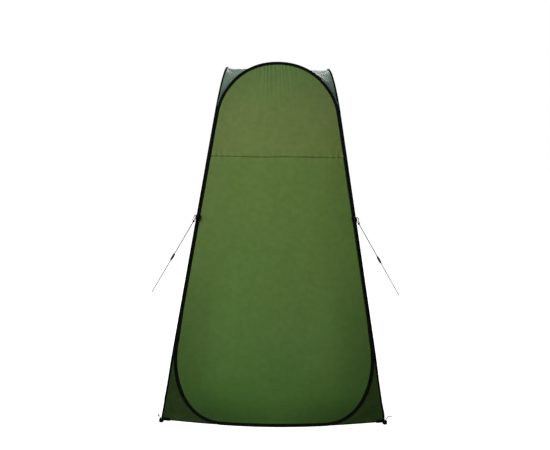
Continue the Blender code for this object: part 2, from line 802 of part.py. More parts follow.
def build_knot(name, wall, side, parent):
    """Stopper knot just outside the rope's loop."""
    pivot, _, direction = guy_frame(wall, side)
    centre = pivot + direction * (ROPE_LOOP_RADIUS + KNOT_AT)
    a = direction.cross(Vector((0, 0, 1))).normalized()
    b = direction.cross(a)
    ring = [centre + (a * math.cos(t) + b * math.sin(t)) * KNOT_RADII[0]
            for t in (2 * math.pi * k / 10 for k in range(10))]
    loops = tube_loops(ring, KNOT_RADII[1], 6, closed=True)
    add_object(name, *loop_solid(loops, True), cord_material(name), parent)


def build_tensioner(name, wall, side, parent):
    """Plastic slider that the rope runs through."""
    pivot, _, direction = guy_frame(wall, side)
    a = direction.cross(Vector((0, 0, 1))).normalized()
    b = direction.cross(a)
    sides = 10
    inner = []
    outer = []
    for k in range(sides):
        turn = 2 * math.pi * k / sides
        radial = a * math.cos(turn) + b * math.sin(turn)
        wide = (a * TENSIONER_HALF[0] * math.cos(turn)
                + b * TENSIONER_HALF[1] * math.sin(turn))
        inner.append([])
        outer.append([])
        for t, swell in ((-0.5, TENSIONER_TAPER), (-0.3, 1.0), (0.3, 1.0), (0.5, TENSIONER_TAPER)):
            spot = pivot + direction * (TENSIONER_AT + TENSIONER_LENGTH * t)
            inner[k].append(spot + radial * (ROPE_RADIUS + GAP))
            outer[k].append(spot + wide * swell)
    add_object(name, *grid_solid(inner, outer, closed=True), plastic_material(name), parent)


# ---- Assembly --------------------------------------------------------------------------------

def build_wall(wall, parent):
    """Everything that all four walls have."""
    name = WALL_NAMES[wall]
    build_wire(wall, parent)
    build_ferrule(wall, parent)
    build_binding(wall, parent)
    build_roof_gore(wall, parent)
    build_skirt(wall, -1, name + "_skirt_left", parent)
    build_skirt(wall, 1, name + "_skirt_right", parent)


def build_door(back_pivot):
    """Door leaf, zip and tie-back of the back wall."""
    hinge = Vector((-(half_width(1.0) - DOOR_HINGE_INSET), 1.0))
    door_pivot = add_pivot("door_pivot", place(BACK, hinge.x, hinge.y, DOOR_AXIS_N), back_pivot)
    build_door_surround(back_pivot)
    build_door_leaf(door_pivot)
    build_zip_tape("zip_tape_tent_side", DOOR_GAP / 2 - ZIP_MEET, ZIP_TAPE, back_pivot)
    build_zip_tape("zip_tape_door_side", ZIP_MEET - DOOR_GAP / 2, -ZIP_TAPE, door_pivot)
    slider_pivot = add_pivot("zip_slider_pivot", slider_frame()[0], back_pivot)
    build_slider(slider_pivot)
    build_pull(add_pivot("zip_pull_pivot", pull_axis()[0], slider_pivot))
    build_tie(back_pivot)


def build_pegs(corners):
    for label, wall, side, hook_turn, parent in corners:
        build_ground_tab("ground_tab_" + label, wall, side, parent)
        foot, _ = peg_axis(wall, side)
        pivot = add_pivot("peg_pivot_" + label, foot, parent)
        build_peg("peg_" + label, wall, side, hook_turn, pivot)


def build_guys():
    for label, side in (("left", -1), ("right", 1)):
        build_guy_tab("guy_tab_" + label, FRONT, side, None)
        pivot_at, _, direction = guy_frame(FRONT, side)
        pivot = add_pivot("guy_pivot_" + label, pivot_at)
        build_rope("guy_rope_" + label, FRONT, side, pivot)
        build_knot("guy_knot_" + label, FRONT, side, pivot)
        slide_at = pivot_at + direction * TENSIONER_AT
        slide = add_pivot("tensioner_pivot_" + label, slide_at, pivot)
        build_tensioner("guy_tensioner_" + label, FRONT, side, slide)


def corner_line(wall, side):
    """Foot and direction of the line that two walls fold about."""
    foot = place(wall, side * half_width(0), 0, 0, bowed=False)
    head = place(wall, side * half_width(1), 1, 0, bowed=False)
    return foot, (head - foot).normalized()


def main():
    for old in list(bpy.data.objects):
        bpy.data.objects.remove(old, do_unlink=True)
    left_pivot = add_pivot("left_fold_pivot", corner_line(FRONT, -1)[0])
    right_pivot = add_pivot("right_fold_pivot", corner_line(FRONT, 1)[0])
    back_pivot = add_pivot("back_fold_pivot", corner_line(LEFT, -1)[0], left_pivot)
    parents = {FRONT: None, RIGHT: right_pivot, BACK: back_pivot, LEFT: left_pivot}
    for wall, parent in parents.items():
        build_wall(wall, parent)
    build_front_panels(None)
    for wall in (RIGHT, LEFT):
        build_panel(wall, WALL_NAMES[wall] + "_panel", fabric_outline(), parents[wall])
    build_door(back_pivot)
    build_pegs((("front_left", FRONT, -1, 100.0, None),
                ("front_right", FRONT, 1, 0.0, None),
                ("back_left", LEFT, -1, 0.0, left_pivot),
                ("back_right", RIGHT, 1, 0.0, right_pivot)))
    build_guys()


main()
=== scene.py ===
"""Finished model of a pop-up privacy shower tent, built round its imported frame.

Metres, +Z up, the frame's own axes: the front wall faces -Y. A wall is laid out flat in
(u, v, n): u runs across it, v up its slope from the ground, and n out of its inner face.
place() bends that sheet outwards near the ground and stands it on its side of the square.
"""

import json
import math
import random

import bmesh
import bpy
import numpy as np
from mathutils import Matrix, Vector, noise


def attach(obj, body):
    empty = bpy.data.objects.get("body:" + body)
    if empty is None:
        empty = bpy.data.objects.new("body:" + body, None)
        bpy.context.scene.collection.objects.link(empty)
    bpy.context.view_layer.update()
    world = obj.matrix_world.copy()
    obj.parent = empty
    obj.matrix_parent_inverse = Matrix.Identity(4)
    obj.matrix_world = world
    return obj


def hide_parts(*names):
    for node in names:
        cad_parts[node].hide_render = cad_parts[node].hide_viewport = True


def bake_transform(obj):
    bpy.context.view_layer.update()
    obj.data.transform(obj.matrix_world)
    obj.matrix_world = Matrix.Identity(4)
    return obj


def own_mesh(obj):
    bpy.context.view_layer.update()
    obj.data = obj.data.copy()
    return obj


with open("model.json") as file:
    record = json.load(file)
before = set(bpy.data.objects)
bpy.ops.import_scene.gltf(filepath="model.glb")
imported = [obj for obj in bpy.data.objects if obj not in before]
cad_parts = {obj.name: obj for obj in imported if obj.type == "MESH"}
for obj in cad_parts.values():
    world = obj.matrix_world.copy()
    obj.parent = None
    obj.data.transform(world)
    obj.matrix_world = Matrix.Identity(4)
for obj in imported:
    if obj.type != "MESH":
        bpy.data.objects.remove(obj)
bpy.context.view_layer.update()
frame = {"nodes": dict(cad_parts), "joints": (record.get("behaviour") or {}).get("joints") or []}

# ---- Sizes of the frame ------------------------------------------------------------------------

BASE_HALF = 0.600
TOP_HALF = 0.294
HEIGHT = 1.900
EDGE_GAP = 0.0012
BINDING_WIDTH = 0.0140
BINDING_DEPTH = 0.0064
FABRIC_INSET = 0.0095
FABRIC_MID = BINDING_DEPTH / 2
ARCH_V = 1.660
ARCH_SIDE_HANDLE = 0.085
ARCH_TOP_HANDLE = 0.224
CORNER_V = 0.407
CORNER_SIDE_HANDLE = 0.205
FLAT_HALF = 0.265
FLAT_HANDLE = 0.215
BOWS = (0.070, 0.028, 0.070, 0.028)
BOW_FADE = 0.350
SEAM_V = 1.417
ROOF_CENTRE_Z = 1.868
ROOF_DROP = 0.006
DOOR_HINGE_INSET = 0.030
DOOR_FREE_INSET = 0.075
DOOR_SILL = 0.090
DOOR_HEAD_INSET = 0.075
DOOR_GAP = 0.003
ZIP_N = 0.0057
TIE_V = 1.050
TAB_RADIUS = 0.0110
TAB_REACH = -0.0020
TAB_STAND = 0.0045
TAB_SEAM = 0.0100
TAB_ARC_DEG = (-105, 210)
GROUND_TAB_TAIL = 0.0360
GROUND_TAB_HEIGHT = 0.0160
GROUND_TAB_N = 0.0067
GUY_V = 1.080
GUY_TAB_TAIL = 0.0080
GUY_TAB_HEIGHT = 0.018
GUY_TAB_N = 0.0080
PEG_RADIUS = 0.0020
PEG_SHAFT = 0.046
PEG_HOOK = 0.022
PEG_BEND = 0.0070
PEG_SHIFT = 0.0040
PEG_LIFT = 0.0030
PEG_LEAN = (0.44, 0.14, 0.88)
CORD_RADIUS = 0.0023
CORD_LAY = 0.0052           # length of one turn of its strands
ROPE_LOOP_RADIUS = 0.0135
ROPE_LENGTH = 0.455
ROPE_FALL_DEG = 51.8
TENSIONER_AT = 0.245
TENSIONER_LENGTH = 0.040
KNOT_AT = 0.0105

SLOPE = math.atan((BASE_HALF - TOP_HALF) / HEIGHT)
SIN = math.sin(SLOPE)
COS = math.cos(SLOPE)
INNER_HALF = BASE_HALF - BINDING_DEPTH / COS
TOP_V = (HEIGHT - BINDING_DEPTH * SIN) / COS
FRONT, RIGHT, BACK, LEFT = range(4)
WALLS = ("front", "right", "back", "left")
UP = Vector((0, 0, 1))
LEVEL_STEPS = 19            # of half an outline's level bottom
CURVE_STEPS = 60            # of its corner, of its side and of its arch


# ---- Wall geometry -----------------------------------------------------------------------------

def half_width(v):
    """Half width of a wall's inner face at v: its corner lines run here."""
    return INNER_HALF - v * SIN


def bow(wall, u, v):
    """How far the sprung sheet stands out at (u, v): nothing along the corner lines."""
    across = np.cos(np.pi / 2 * np.minimum(1.0, np.abs(u) / half_width(v)))
    return BOWS[wall] * across * np.exp(-np.maximum(v, 0.0) / BOW_FADE)


def place(wall, u, v, n):
    """World points of (u, v, n) on a wall."""
    u, v, n = np.broadcast_arrays(np.asarray(u, float), np.asarray(v, float), n)
    out = half_width(v) + n * COS + bow(wall, u, v)
    turn = math.radians(90 * wall)
    c = round(math.cos(turn))
    s = round(math.sin(turn))
    return np.stack((c * u + s * out, s * u - c * out, v * COS + n * SIN), axis=-1)


def bezier(p0, p1, p2, p3, steps):
    """Points of a cubic curve, both ends included."""
    t = np.linspace(0, 1, steps + 1)[:, None]
    s = 1 - t
    return s ** 3 * p0 + 3 * s * s * t * p1 + 3 * s * t * t * p2 + t ** 3 * p3


def half_outline(inset, low, high):
    """Right half of a wall outline, from the bottom middle to the top middle."""
    along = np.array((-SIN, 1)) / math.hypot(SIN, 1)
    foot = np.array((half_width(CORNER_V) - inset, CORNER_V))
    shoulder = np.array((half_width(ARCH_V) - inset, ARCH_V))
    flat = np.array((FLAT_HALF, low))
    reach = CORNER_SIDE_HANDLE * (CORNER_V - low) / CORNER_V
    corner = bezier(flat, flat + (FLAT_HANDLE - inset, 0), foot - along * reach, foot,
                    CURVE_STEPS)
    rise = ARCH_SIDE_HANDLE * (high - ARCH_V) / (TOP_V - ARCH_V)
    top = np.array((0, high))
    arch = bezier(shoulder, shoulder + along * rise,
                  top + (ARCH_TOP_HANDLE - inset / 2, 0), top, CURVE_STEPS)
    level = np.stack((np.linspace(0, FLAT_HALF, LEVEL_STEPS + 1)[:-1],
                      np.full(LEVEL_STEPS, low)), 1)
    side = foot + (shoulder - foot) * np.linspace(0, 1, CURVE_STEPS)[1:-1, None]
    return np.concatenate((level, corner, side, arch))


def mirror_half(right, left=None):
    """Closed outline, counter-clockwise from the bottom middle, from its two halves."""
    other = (right if left is None else left) * (-1, 1)
    return np.concatenate((right, other[-2:0:-1]))


def unit(ways):
    """Ways scaled to length 1."""
    return ways / np.linalg.norm(ways, axis=-1, keepdims=True)


def outline_normals(points):
    """Outward ways of a closed, counter-clockwise outline."""
    run = unit(np.roll(points, -1, 0) - np.roll(points, 1, 0))
    return np.stack((run[:, 1], -run[:, 0]), 1)


def open_normals(path):
    """The same for an open path, its ends carried on straight."""
    padded = np.concatenate((path[:1] * 2 - path[1:2], path, path[-1:] * 2 - path[-2:-1]))
    return outline_normals(padded)[1:-1]


def offset(points, distance):
    """A closed outline moved outwards by distance (inwards when it is negative)."""
    return points + outline_normals(points) * distance


def lengths(path):
    """Distance run along a path at each of its points."""
    return np.concatenate(([0], np.cumsum(np.linalg.norm(np.diff(path, axis=0), axis=1))))


def resample(points, step, closed=False):
    """Points about step apart along a path, both ends kept."""
    path = np.concatenate((points, points[:1])) if closed else points
    reach = lengths(path)
    count = max(2, round(reach[-1] / step) + 1)
    spots = np.linspace(0, reach[-1], count)[:-1 if closed else None]
    return np.stack([np.interp(spots, reach, path[:, k]) for k in range(path.shape[1])], 1)


HALF_HOOP = half_outline(EDGE_GAP, 0.0, TOP_V)
HOOP = mirror_half(HALF_HOOP)
CLOTH_EDGE = offset(HOOP, -FABRIC_INSET)
CLOTH_HALF = CLOTH_EDGE[:len(HALF_HOOP)]


def door_outline(grow):
    """The door's outline on the back wall, made larger by grow."""
    low = DOOR_SILL - grow
    high = TOP_V - DOOR_HEAD_INSET + grow
    return mirror_half(half_outline(DOOR_FREE_INSET - grow, low, high),
                       half_outline(DOOR_HINGE_INSET - grow, low, high))


# ---- Mesh helpers ------------------------------------------------------------------------------

def add_piece(name, shape, mat, body, stands_for=None, sharp_deg=None):
    """Closed mesh piece that rides on a body. Its shape: vertices, faces, cloth coordinates."""
    verts, faces, uv = shape
    mesh = bpy.data.meshes.new(name)
    mesh.from_pydata(np.asarray(verts, float).reshape(-1, 3).tolist(), [], faces)
    corners = np.empty(len(mesh.loops), np.int32)
    mesh.loops.foreach_get("vertex_index", corners)
    layer = mesh.uv_layers.new(name="cloth")
    layer.data.foreach_set("uv", np.asarray(uv, np.float32).reshape(-1, 2)[corners].ravel())
    solid = bmesh.new()
    solid.from_mesh(mesh)
    bmesh.ops.recalc_face_normals(solid, faces=solid.faces)
    if solid.calc_volume(signed=True) < 0:
        bmesh.ops.reverse_faces(solid, faces=solid.faces)
    solid.to_mesh(mesh)
    solid.free()
    mesh.shade_smooth()
    if sharp_deg:
        mesh.set_sharp_from_angle(angle=math.radians(sharp_deg))
    mesh.materials.append(mat[0])
    obj = bpy.data.objects.new(name, mesh)
    bpy.context.scene.collection.objects.link(obj)
    if body:
        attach(obj, body)
    if stands_for:
        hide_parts(stands_for)
    return obj


def grid_faces(rows, cols, wrap_rows=False, wrap_cols=False, base=0):
    """Quads of a grid of points, which may close on itself either way."""
    r = np.arange(rows if wrap_rows else rows - 1)[:, None]
    c = np.arange(cols if wrap_cols else cols - 1)[None, :]
    r1 = (r + 1) % rows
    c1 = (c + 1) % cols
    quads = np.stack(np.broadcast_arrays(r * cols + c, r * cols + c1, r1 * cols + c1,
                                         r1 * cols + c), -1)
    return (quads.reshape(-1, 4) + base).tolist()


def shell(grid, thickness, uv, wrap_rows=False):
    """Closed thin solid either side of a grid of points."""
    rows, cols, _ = grid.shape
    padded = np.concatenate((grid[-1:], grid, grid[:1])) if wrap_rows else grid
    down = np.gradient(padded, axis=0)
    down = down[1:-1] if wrap_rows else down
    normal = np.cross(np.gradient(grid, axis=1), down)
    normal /= np.maximum(np.linalg.norm(normal, axis=-1), 1e-12)[..., None]
    verts = np.concatenate(((grid + normal * thickness / 2).reshape(-1, 3),
                            (grid - normal * thickness / 2).reshape(-1, 3)))
    size = rows * cols
    faces = grid_faces(rows, cols, wrap_rows) + grid_faces(rows, cols, wrap_rows, base=size)
    rims = [[r * cols + c for r in range(rows)] for c in (0, cols - 1)]
    if not wrap_rows:
        rims += [[r * cols + c for c in range(cols)] for r in (0, rows - 1)]
    for rim in rims:
        pairs = zip(rim, rim[1:] + rim[:1]) if wrap_rows else zip(rim, rim[1:])
        faces += [[a, b, b + size, a + size] for a, b in pairs]
    return verts, faces, np.concatenate((uv.reshape(-1, 2),) * 2)


def loft(rings, closed=False):
    """Solid through a row of closed rings, joined end to end or capped."""
    rings = np.asarray(rings, float)
    count, size, _ = rings.shape
    faces = grid_faces(count, size, wrap_rows=closed, wrap_cols=True)
    if not closed:
        faces += [list(range(size)), list(range((count - 1) * size, count * size))]
    run = np.linalg.norm(np.diff(rings, axis=0), axis=2).mean(1)
    along = np.concatenate(([0], np.cumsum(run)))
    around = np.linspace(0, np.linalg.norm(np.diff(rings[0], axis=0), axis=1).sum(), size)
    uv = np.stack(np.meshgrid(around, along), -1)
    return rings.reshape(-1, 3), faces, uv


def swept(section, lay):
    """Solid along a run: lay(a, b) gives the run's points for the section's point (a, b)."""
    return loft(np.stack([lay(a, b) for a, b in section], 1))


def path_frames(path, closed=False):
    """Tangents and two cross directions along a path, turning as little as they can."""
    path = np.asarray(path, float)
    if closed:
        tangent = np.roll(path, -1, 0) - np.roll(path, 1, 0)
    else:
        tangent = np.gradient(path, axis=0)
    tangent = unit(tangent)
    helper = (0, 0, 1) if abs(tangent[0][2]) < 0.9 else (1, 0, 0)
    cross = np.cross(tangent[0], helper)
    first = []
    for t in tangent:
        cross = cross - t * cross.dot(t)
        cross /= np.linalg.norm(cross)
        first.append(cross)
    first = np.array(first)
    return tangent, first, np.cross(tangent, first)


def tube(path, radius, sides, closed=False):
    """Round tube along a path, its ends rounded. radius may change along it."""
    path = np.asarray(path, float)
    radius = np.full(len(path), radius) if np.ndim(radius) == 0 else np.asarray(radius, float)
    tangent, a, b = path_frames(path, closed)
    if not closed:
        turns = np.radians((15, 40, 65))
        head = [path[0] - tangent[0] * radius[0] * math.cos(t) for t in turns]
        tail = [path[-1] + tangent[-1] * radius[-1] * math.cos(t) for t in turns[::-1]]
        ends = [math.sin(t) for t in turns]
        path = np.concatenate((head, path, tail))
        a = np.concatenate(([a[0]] * 3, a, [a[-1]] * 3))
        b = np.concatenate(([b[0]] * 3, b, [b[-1]] * 3))
        radius = np.concatenate((np.array(ends) * radius[0], radius,
                                 np.array(ends[::-1]) * radius[-1]))
    turn = np.linspace(0, 2 * np.pi, sides, endpoint=False)
    rings = (path[:, None] + (a[:, None] * np.cos(turn)[None, :, None]
                              + b[:, None] * np.sin(turn)[None, :, None]) * radius[:, None, None])
    return loft(rings, closed)


def merge(parts):
    """Several bodies as one list of vertices, faces and coordinates."""
    verts = []
    faces = []
    uvs = []
    base = 0
    for v, f, uv in parts:
        verts.append(np.asarray(v).reshape(-1, 3))
        faces += [[i + base for i in face] for face in f]
        uvs.append(np.asarray(uv).reshape(-1, 2))
        base += len(verts[-1])
    return np.concatenate(verts), faces, np.concatenate(uvs)


def repeat(shape, centres, axes):
    """Copies of a small shape, one at each centre, turned to that centre's three axes."""
    points, faces = shape
    points = np.asarray(points, float)
    axes = np.stack(axes, 1)
    verts = centres[:, None] + np.einsum("pk,ckx->cpx", points, axes)
    count = len(points)
    all_faces = [[i + k * count for i in face] for k in range(len(centres)) for face in faces]
    return verts.reshape(-1, 3), all_faces, np.zeros((len(centres) * count, 2))


def field(u, v, scale, seed, octaves=2):
    """Smooth noise from about -1 to 1 over a sheet."""
    spots = zip(np.ravel(u) * scale, np.ravel(v) * scale)
    values = [noise.fractal((x, y, seed * 7.31), 1.0, 2.0, octaves) for x, y in spots]
    return np.array(values).reshape(np.shape(u)) * 1.4


# ---- Materials ---------------------------------------------------------------------------------

def new_material(name, colour, roughness, metallic=0.0, specular=0.5):
    """A plain material and its shader node."""
    mat = bpy.data.materials.new(name)
    mat.use_nodes = True
    shader = mat.node_tree.nodes["Principled BSDF"]
    shader.inputs["Base Color"].default_value = (*colour, 1.0)
    shader.inputs["Roughness"].default_value = roughness
    shader.inputs["Metallic"].default_value = metallic
    shader.inputs["Specular IOR Level"].default_value = specular
    return mat, shader


def add_node(mat, kind, inputs=None, **settings):
    """A node of the material, with its settings, and its inputs set or linked."""
    node = mat.node_tree.nodes.new(kind)
    for key, value in settings.items():
        setattr(node, key, value)
    for key, value in (inputs or {}).items():
        if isinstance(value, bpy.types.NodeSocket):
            mat.node_tree.links.new(value, node.inputs[key])
        else:
            node.inputs[key].default_value = value
    return node


def link(mat, output, target):
    """Joins two sockets of the material."""
    mat.node_tree.links.new(output, target)


def noise_colours(mat, coords, scale, detail, colours, spread=(0.35, 0.65)):
    """Colours that drift from one to the other with a noise."""
    spots = add_node(mat, "ShaderNodeTexNoise", {"Vector": coords, "Scale": scale,
                                                 "Detail": detail})
    ramp = add_node(mat, "ShaderNodeValToRGB", {"Fac": spots.outputs["Fac"]})
    ramp.color_ramp.elements[0].position = spread[0]
    ramp.color_ramp.elements[1].position = spread[1]
    for element, colour in zip(ramp.color_ramp.elements, colours):
        element.color = (*colour, 1.0)
    return ramp.outputs["Color"]


def drive_roughness(mat, shader, coords, scale, low, high):
    """Roughness that drifts between two values with a noise."""
    spots = add_node(mat, "ShaderNodeTexNoise", {"Vector": coords, "Scale": scale, "Detail": 3.0})
    spread = add_node(mat, "ShaderNodeMapRange", {"Value": spots.outputs["Fac"], "To Min": low,
                                                  "To Max": high})
    link(mat, spread.outputs["Result"], shader.inputs["Roughness"])


def weave_height(mat, pitch):
    """Warp and weft: two sets of ridges that cross, read from the cloth's own coordinates."""
    cloth = add_node(mat, "ShaderNodeUVMap", uv_map="cloth").outputs["UV"]
    sets = []
    for direction in ("X", "Y"):
        sets.append(add_node(mat, "ShaderNodeTexWave", {"Vector": cloth, "Scale": 0.314 / pitch},
                             bands_direction=direction).outputs["Fac"])
    both = add_node(mat, "ShaderNodeMath", operation="MULTIPLY")
    for socket, source in zip(both.inputs, sets):
        link(mat, source, socket)
    return both.outputs[0]


def bump(mat, shader, height, strength, distance):
    """Fine relief from a height."""
    node = add_node(mat, "ShaderNodeBump", {"Height": height, "Strength": strength,
                                            "Distance": distance})
    link(mat, node.outputs["Normal"], shader.inputs["Normal"])


def height_colours(mat, coords, stops):
    """Colours blended by height over the ground: (height, colour) stops."""
    height = add_node(mat, "ShaderNodeSeparateXYZ", {"Vector": coords}).outputs["Z"]
    share = add_node(mat, "ShaderNodeMapRange", {"Value": height, "From Max": HEIGHT})
    ramp = add_node(mat, "ShaderNodeValToRGB", {"Fac": share.outputs["Result"]})
    elements = ramp.color_ramp.elements
    for _ in stops[2:]:
        elements.new(0.5)
    for element, (level, colour) in zip(elements, stops):
        element.position = level / HEIGHT
        element.color = (*colour, 1.0)
    return ramp.outputs["Color"]


def multiply(mat, colour, factors):
    """A colour times each of some factors."""
    for factor in factors:
        mix = add_node(mat, "ShaderNodeMix", data_type="RGBA", blend_type="MULTIPLY")
        mix.inputs["Factor"].default_value = 1.0
        link(mat, colour, mix.inputs[6])
        link(mat, factor, mix.inputs[7])
        colour = mix.outputs[2]
    return colour


def rim_shade(mat):
    """Factor of painted shade on the cloth beside a hoop, from the nearness that a piece's points
    carry.
    """
    rim = add_node(mat, "ShaderNodeAttribute", attribute_name="rim")
    ramp = add_node(mat, "ShaderNodeValToRGB", {"Fac": rim.outputs["Fac"]})
    for element, colour in zip(ramp.color_ramp.elements, RIM_SHADE):
        element.color = (*colour, 1.0)
    return ramp.outputs["Color"]


def cloth_material(name, slot, stops, drift, mottle, roughness, sheen, rim=False):
    """Coated polyester: colour and painted light and shade by height, a slow drift, fine mottling,
    a plain weave, sheen.
    """
    mat, shader = new_material(name, stops[0][1], roughness, specular=CLOTH_SPECULAR)
    coords = add_node(mat, "ShaderNodeTexCoord").outputs["Object"]
    weave = weave_height(mat, WEAVE_PITCH)
    threads = add_node(mat, "ShaderNodeMapRange", {"Value": weave, "To Min": 0.90, "To Max": 1.06})
    factors = (noise_colours(mat, coords, 1.6, 2.0, drift),
               noise_colours(mat, coords, 34.0, 4.0, ((1 - mottle,) * 3, (1.0,) * 3)),
               threads.outputs["Result"])
    if rim:
        factors += (rim_shade(mat),)
    colour = multiply(mat, height_colours(mat, coords, stops), factors)
    link(mat, colour, shader.inputs["Base Color"])
    drive_roughness(mat, shader, coords, 20.0, roughness - 0.07, roughness + 0.09)
    bump(mat, shader, weave, 0.25, 0.0002)
    shader.inputs["Sheen Weight"].default_value = sheen
    shader.inputs["Sheen Roughness"].default_value = 0.5
    return mat, slot


def worn_material(name, first, colours, roughness, patches, wear, metallic=0.0, specular=0.5,
                  spread=(0.35, 0.65)):
    """Colour that drifts with patches (scale, detail), roughness with wear (scale, low, high)."""
    mat, shader = new_material(name, first, roughness, metallic, specular)
    coords = add_node(mat, "ShaderNodeTexCoord").outputs["Object"]
    link(mat, noise_colours(mat, coords, *patches, colours, spread), shader.inputs["Base Color"])
    drive_roughness(mat, shader, coords, *wear)
    return mat, shader, coords


def webbing_material(name, colours, pitch):
    """Ribbed nylon tape: ribs across its run, dusty in patches."""
    mat, shader, _ = worn_material(name, colours[0], colours, 0.8, (22.0, 5.0),
                                   (60.0, 0.62, 0.88), specular=TAPE_SPECULAR)
    bump(mat, shader, weave_height(mat, pitch), 0.6, 0.0003)
    return mat, "black_webbing"


def steel_material(name, colours, roughness):
    """Plated wire: dull patches, fine scratches."""
    wear = (240.0, roughness - 0.1, roughness + 0.2)
    mat, shader, coords = worn_material(name, colours[0], colours, roughness, (60.0, 6.0), wear,
                                        metallic=1.0)
    scratches = add_node(mat, "ShaderNodeTexNoise", {"Vector": coords, "Scale": 900.0,
                                                     "Detail": 2.0})
    bump(mat, shader, scratches.outputs["Fac"], 0.15, 0.0001)
    return mat, "steel"


def plastic_material(name):
    """Moulded black plastic with a fine spark-eroded grain and scuffs."""
    colours = ((0.004, 0.004, 0.005), (0.014, 0.014, 0.015))
    mat, shader, coords = worn_material(name, (0.005, 0.005, 0.006), colours, 0.4, (150.0, 6.0),
                                        (300.0, 0.34, 0.58), specular=PLASTIC_SPECULAR,
                                        spread=(0.5, 0.8))
    grain = add_node(mat, "ShaderNodeTexVoronoi", {"Vector": coords, "Scale": 1600.0})
    bump(mat, shader, grain.outputs["Distance"], 0.2, 0.0001)
    return mat, "black_plastic"


def cord_material(name, colours, slot="cord"):
    """Twisted cord of fine fibres."""
    mat, shader, coords = worn_material(name, colours[0], colours, 0.85, (500.0, 4.0),
                                        (90.0, 0.7, 0.95), specular=TAPE_SPECULAR)
    fibres = add_node(mat, "ShaderNodeTexNoise", {"Vector": coords, "Scale": 2500.0})
    bump(mat, shader, fibres.outputs["Fac"], 0.5, 0.0002)
    return mat, slot


WEAVE_PITCH = 0.0009
CLOTH_SPECULAR = 0.15
RIM_SHADE = ((1.0, 1.0, 1.0), (0.60, 0.66, 0.52))      # painted shade on the cloth beside its hoop
RIM_REACH = 0.30
RIM_STRENGTH = ((0.40, 0.90), (1.0, 0.40))             # painted shade by height: strongest low down
RIM_MIDDLE = 0.36                                      # and weaker this near a wall's middle
TAPE_SPECULAR = 0.03
PLASTIC_SPECULAR = 0.25
# Wall colour by height, with painted light and shade in it: darker towards the ground, lightest
# above the seam, darker again at the very top.
WALL_TONE_AND_SHADE_STOPS = ((0.04, (0.030, 0.080, 0.010)), (0.15, (0.048, 0.116, 0.019)),
              (0.45, (0.067, 0.136, 0.028)), (0.80, (0.079, 0.141, 0.030)),
              (1.35, (0.082, 0.143, 0.028)), (1.42, (0.098, 0.146, 0.034)),
              (1.62, (0.102, 0.142, 0.038)), (1.88, (0.074, 0.128, 0.034)))
# The skirts take the walls' fabric painted darker: painted shade on the corner cloth.
SKIRT_SHADE_STOPS = ((0.0, (0.012, 0.033, 0.0020)), (0.42, (0.018, 0.030, 0.0030)))
# Roof colour by height: the pale tops are a painted sheen of the light from above, the dark low
# corners of the gores painted shade.
ROOF_SHEEN_AND_SHADE_STOPS = ((1.64, (0.030, 0.050, 0.034)), (1.75, (0.075, 0.115, 0.088)),
              (1.83, (0.118, 0.178, 0.142)), (1.89, (0.165, 0.238, 0.196)))
# The last True gives the walls' cloth its painted shade beside the hoop.
WALL_CLOTH = cloth_material("wall_cloth", "wall_fabric", WALL_TONE_AND_SHADE_STOPS,
                            ((0.93, 1.0, 0.90), (1.06, 0.98, 1.05)), 0.10, 0.62, 0.02, True)
SHADED_SKIRT_CLOTH = cloth_material("skirt_cloth", "wall_fabric", SKIRT_SHADE_STOPS,
                             ((0.80, 0.95, 0.80), (1.15, 1.0, 1.10)), 0.25, 0.70, 0.0)
ROOF_CLOTH = cloth_material("roof_cloth", "roof_fabric", ROOF_SHEEN_AND_SHADE_STOPS,
                            ((0.90, 0.95, 0.93), (1.06, 1.02, 1.05)), 0.08, 0.42, 0.06)
ROOF_TAPE = cloth_material("roof_seam_tape", "roof_fabric", ROOF_SHEEN_AND_SHADE_STOPS,
                           ((0.72, 0.76, 0.74), (0.84, 0.86, 0.84)), 0.08, 0.5, 0.04)
TAPE = webbing_material("binding_tape", ((0.0010, 0.0019, 0.0012), (0.0026, 0.0038, 0.0028)),
                        0.0011)
THREAD = cord_material("black_thread", ((0.0060, 0.0075, 0.0060), (0.014, 0.016, 0.013)))
GREEN_THREAD = cord_material("green_thread", ((0.020, 0.042, 0.008), (0.034, 0.058, 0.012)),
                             "wall_fabric")
CORD = cord_material("grey_cord", ((0.012, 0.012, 0.013), (0.040, 0.040, 0.042)))
WIRE = steel_material("hoop_wire", ((0.34, 0.35, 0.36), (0.44, 0.45, 0.46)), 0.35)
PEG_WIRE = steel_material("peg_wire", ((0.035, 0.037, 0.040), (0.085, 0.088, 0.092)), 0.38)
ZIP_METAL = steel_material("zip_metal", ((0.05, 0.05, 0.055), (0.09, 0.09, 0.095)), 0.38)
TEETH = plastic_material("zip_teeth")
PLASTIC = plastic_material("moulded_plastic")


# ---- Stitching ---------------------------------------------------------------------------------

BLOCK_FACES = grid_faces(3, 4, wrap_cols=True) + [[0, 1, 2, 3], [8, 9, 10, 11]]
STITCH = ([(t * 0.5, w * math.cos(k * math.pi / 2), w * 0.6 * math.sin(k * math.pi / 2) + h)
           for t, w, h in ((-1, 0.10, -0.15), (0, 0.16, 0.10), (1, 0.10, -0.15)) for k in range(4)],
          BLOCK_FACES)

# Length and pitch of each row's stitches.
HOOP_STITCHES = (0.0042, 0.0060)
HOOP_INNER_STITCHES = (0.0042, 0.0120)
SEAM_STITCHES = (0.0036, 0.0050)
HEM_STITCHES = (0.0034, 0.0060)
ZIP_STITCHES = (0.0030, 0.0050)
TAB_STITCHES = (0.0026, 0.0036)


